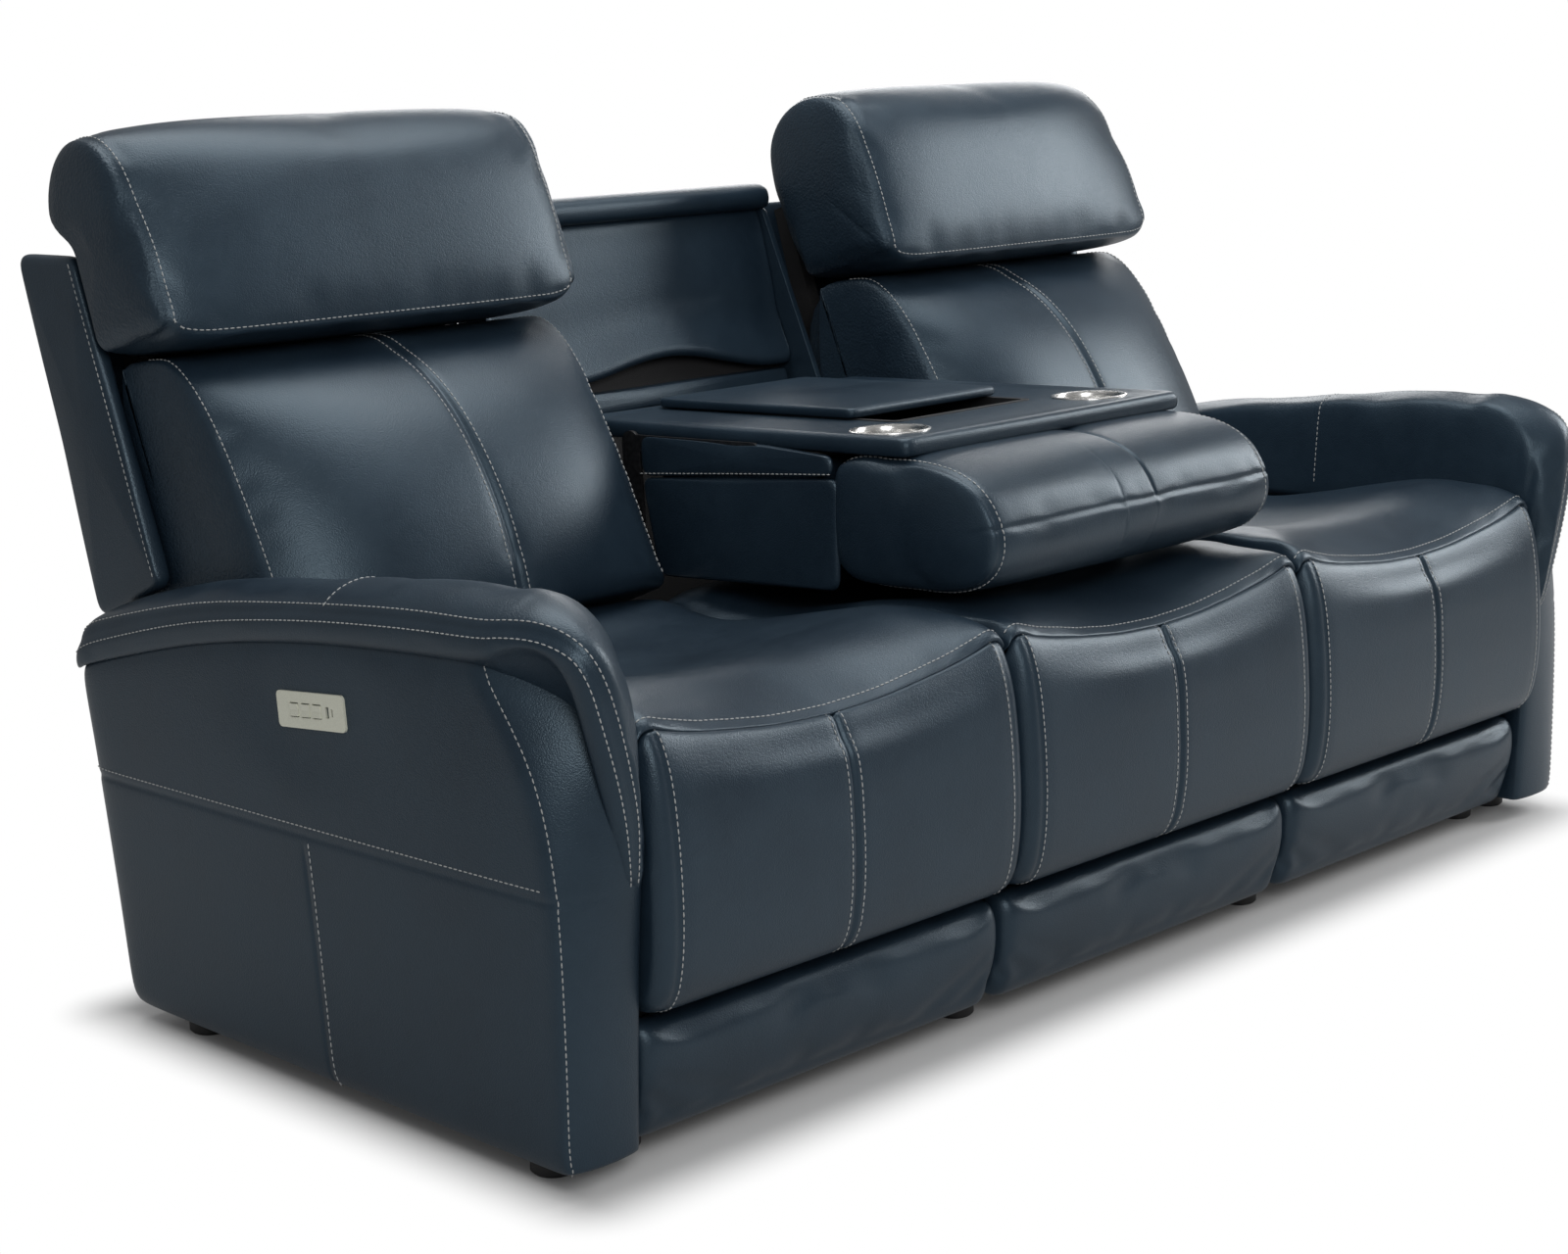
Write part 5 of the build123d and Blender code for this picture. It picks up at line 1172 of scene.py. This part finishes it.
# %% Stitch tree
def stitch_tree():
    """Geometry Nodes tree that turns curves into rows of stitches."""
    tree = bpy.data.node_groups.new("stitch_rows", "GeometryNodeTree")
    tree.interface.new_socket("Geometry", in_out="INPUT", socket_type="NodeSocketGeometry")
    for label, value in (("Pitch", 0.0082), ("Length", 0.0064), ("Thread", 0.00085)):
        socket = tree.interface.new_socket(label, in_out="INPUT", socket_type="NodeSocketFloat")
        socket.default_value = value
    finish = tree.interface.new_socket("Finish", in_out="INPUT", socket_type="NodeSocketMaterial")
    tree.interface.new_socket("Geometry", in_out="OUTPUT", socket_type="NodeSocketGeometry")
    entry, leave = tree.nodes.new("NodeGroupInput"), tree.nodes.new("NodeGroupOutput")
    points = tree.nodes.new("GeometryNodeCurveToPoints")
    points.mode = "LENGTH"
    spindle = tree.nodes.new("GeometryNodeMeshUVSphere")
    spindle.inputs["Segments"].default_value = 6
    spindle.inputs["Rings"].default_value = 5
    spindle.inputs["Radius"].default_value = 1.0
    scale = tree.nodes.new("ShaderNodeCombineXYZ")
    half = tree.nodes.new("ShaderNodeMath")
    half.operation = "MULTIPLY"
    half.inputs[1].default_value = 0.5
    place = tree.nodes.new("GeometryNodeInstanceOnPoints")
    real = tree.nodes.new("GeometryNodeRealizeInstances")
    finish_node = tree.nodes.new("GeometryNodeSetMaterial")
    link = tree.links.new
    link(entry.outputs["Geometry"], points.inputs["Curve"])
    link(entry.outputs["Pitch"], points.inputs["Length"])
    link(entry.outputs["Length"], half.inputs[0])
    link(entry.outputs["Thread"], scale.inputs["X"])
    link(entry.outputs["Thread"], scale.inputs["Y"])
    link(half.outputs[0], scale.inputs["Z"])
    link(points.outputs["Points"], place.inputs["Points"])
    link(points.outputs["Rotation"], place.inputs["Rotation"])
    link(spindle.outputs["Mesh"], place.inputs["Instance"])
    link(scale.outputs["Vector"], place.inputs["Scale"])
    link(place.outputs["Instances"], real.inputs["Geometry"])
    link(real.outputs["Geometry"], finish_node.inputs["Geometry"])
    link(entry.outputs["Finish"], finish_node.inputs["Material"])
    link(finish_node.outputs["Geometry"], leave.inputs["Geometry"])
    return tree


STITCHES = stitch_tree()
sockets = {s.name: s.identifier for s in STITCHES.interface.items_tree if s.in_out == "INPUT"}


def stitched(name, rows):
    """Mesh of all stitches along some rows of points."""
    data = bpy.data.curves.new(name, "CURVE")
    data.dimensions = "3D"
    for row in rows:
        spline = data.splines.new("POLY")
        spline.points.add(len(row) - 1)
        spline.points.foreach_set("co", [v for p in row for v in (*p, 1.0)])
    source = bpy.data.objects.new(name, data)
    bpy.context.scene.collection.objects.link(source)
    modifier = source.modifiers.new("Stitches", "NODES")
    modifier.node_group = STITCHES
    modifier[sockets["Finish"]] = thread_finish
    graph = bpy.context.evaluated_depsgraph_get()
    mesh = bpy.data.meshes.new_from_object(source.evaluated_get(graph))
    bpy.data.objects.remove(source)
    mesh.polygons.foreach_set("use_smooth", [True] * len(mesh.polygons))
    if not mesh.materials:
        mesh.materials.append(thread_finish)
    obj = bpy.data.objects.new(name, mesh)
    bpy.context.scene.collection.objects.link(obj)
    return obj


for key, rows in sewing.items():
    stitches = stitched(f"{key}_stitches", rows)
    if key.endswith("_front"):
        side = key.split("_")[0]
        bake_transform(stitches)
    else:
        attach(stitches, key)
    print(stitches.name, len(stitches.data.polygons), "faces")
for side, obj in covers.items():
    dress(obj, None, smooth_hide, [f"{side}_footrest_pad"])
    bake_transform(obj)

# %% [markdown]
# ## Hard pieces from the frame
# Boards, steel, motors, plates and switches are right as the frame has them and only take a finish.

# %% Finishes for the frame's nodes
by_slot = {"board": board_finish, "steel": oiled_finish, "black_steel": oiled_finish, "bright_steel": steel_finish,
           "silver_trim": silver_finish, "black_plastic": plastic_finish, "navy_leather": smooth_hide}
for part in frame["record"]["subparts"]:
    node = frame["nodes"][part["node"]]
    for material_slot in node.material_slots:
        material_slot.material = by_slot[part["material_slot"]]
wrapped = ["left_back_frame", "right_back_frame", "base_rails", "seat_decks", "left_footrest_board", "right_footrest_board"]
for name in wrapped:
    for material_slot in frame["nodes"][name].material_slots:
        material_slot.material = cloth_finish  # boards that show in the slits are wrapped in black cloth

# %% [markdown]
# ## Stage and light
# A floor with a painted shadow, grey in a narrow band round the sofa and white further out, and large soft lamps, as in
# a catalogue picture: one broad lamp above, one from the front left and a weaker one from the right, with a low one
# behind that glances off the flat tops.

# %% Stage
def make_floor():
    """Floor grey in a band round the sofa's footprint, a painted shadow under the rendered one, and white further out.
    """
    bpy.ops.mesh.primitive_plane_add(size=60)
    floor = bpy.context.object
    floor.name = "floor"
    material, tree, shader, place = new_material("floor_with_painted_shadow")
    # The grey near the sofa is partly painted shadow: the camera sees this grey only inside the band and white beyond
    # it.
    shader.inputs["Base Color"].default_value = (0.55, 0.55, 0.55, 1)
    shader.inputs["Roughness"].default_value = 0.9
    split = tree.nodes.new("ShaderNodeSeparateXYZ")
    tree.links.new(place, split.inputs[0])
    beyond = []
    for axis, middle, half in (("X", 0.0, 1.0), ("Y", -0.09, 0.43)):
        off = math_node(tree, "ABSOLUTE", math_node(tree, "SUBTRACT", split.outputs[axis], middle))
        outside = math_node(tree, "SUBTRACT", off, half)
        beyond.append(math_node(tree, "MAXIMUM", outside, 0.0))
    distance = math_node(tree, "SQRT", math_node(tree, "ADD", math_node(tree, "POWER", beyond[0], 2.0),
                                                 math_node(tree, "POWER", beyond[1], 2.0)))
    # Painted shadow band: the floor stays grey up to about 0.11 m outside the footprint, then the camera sees white.
    painted_shadow_fade = tree.nodes.new("ShaderNodeMapRange")
    painted_shadow_fade.interpolation_type = "SMOOTHSTEP"
    painted_shadow_fade.inputs["From Min"].default_value = -0.01
    painted_shadow_fade.inputs["From Max"].default_value = 0.11
    tree.links.new(distance, painted_shadow_fade.inputs["Value"])
    seen = tree.nodes.new("ShaderNodeLightPath")
    white = tree.nodes.new("ShaderNodeEmission")
    mix = tree.nodes.new("ShaderNodeMixShader")
    tree.links.new(math_node(tree, "MULTIPLY", painted_shadow_fade.outputs["Result"], seen.outputs["Is Camera Ray"]), mix.inputs["Fac"])
    tree.links.new(shader.outputs["BSDF"], mix.inputs[1])
    tree.links.new(white.outputs["Emission"], mix.inputs[2])
    tree.links.new(mix.outputs["Shader"], tree.nodes["Material Output"].inputs["Surface"])
    floor.data.materials.append(material)
    return floor


def soft_lamp(name, place, target, size, power):
    """Rectangular lamp that faces a target."""
    data = bpy.data.lights.new(name, "AREA")
    data.shape = "RECTANGLE"
    data.size, data.size_y = size
    data.energy = power
    lamp = bpy.data.objects.new(name, data)
    bpy.context.scene.collection.objects.link(lamp)
    lamp.location = place
    lamp.rotation_euler = (Vector(target) - Vector(place)).to_track_quat("-Z", "Y").to_euler()
    return lamp


make_floor()
soft_lamp("lamp_above", (0.2, 0.3, 3.6), (0, 0, 0.4), (3.4, 2.2), 98)
soft_lamp("lamp_front", (-2.4, -3.2, 2.6), (0, 0, 0.5), (1.8, 1.8), 64)
soft_lamp("lamp_rear", (3.3, 3.1, 2.1), (0, 0, 0.6), (3.2, 1.5), 52)
soft_lamp("lamp_right", (3.6, -1.6, 2.2), (0.4, 0, 0.5), (1.6, 2.0), 90)
world = bpy.data.worlds.new("studio")
bpy.context.scene.world = world
world.use_nodes = True
tree = world.node_tree
background = tree.nodes["Background"]
light = tree.nodes.new("ShaderNodeLightPath")
mix = tree.nodes.new("ShaderNodeMix")
mix.data_type = "FLOAT"
mix.inputs["A"].default_value = 0.30
mix.inputs["B"].default_value = 1.0
tree.links.new(light.outputs["Is Camera Ray"], mix.inputs["Factor"])
tree.links.new(mix.outputs["Result"], background.inputs["Strength"])
background.inputs["Color"].default_value = (1, 1, 1, 1)
print("stage set")
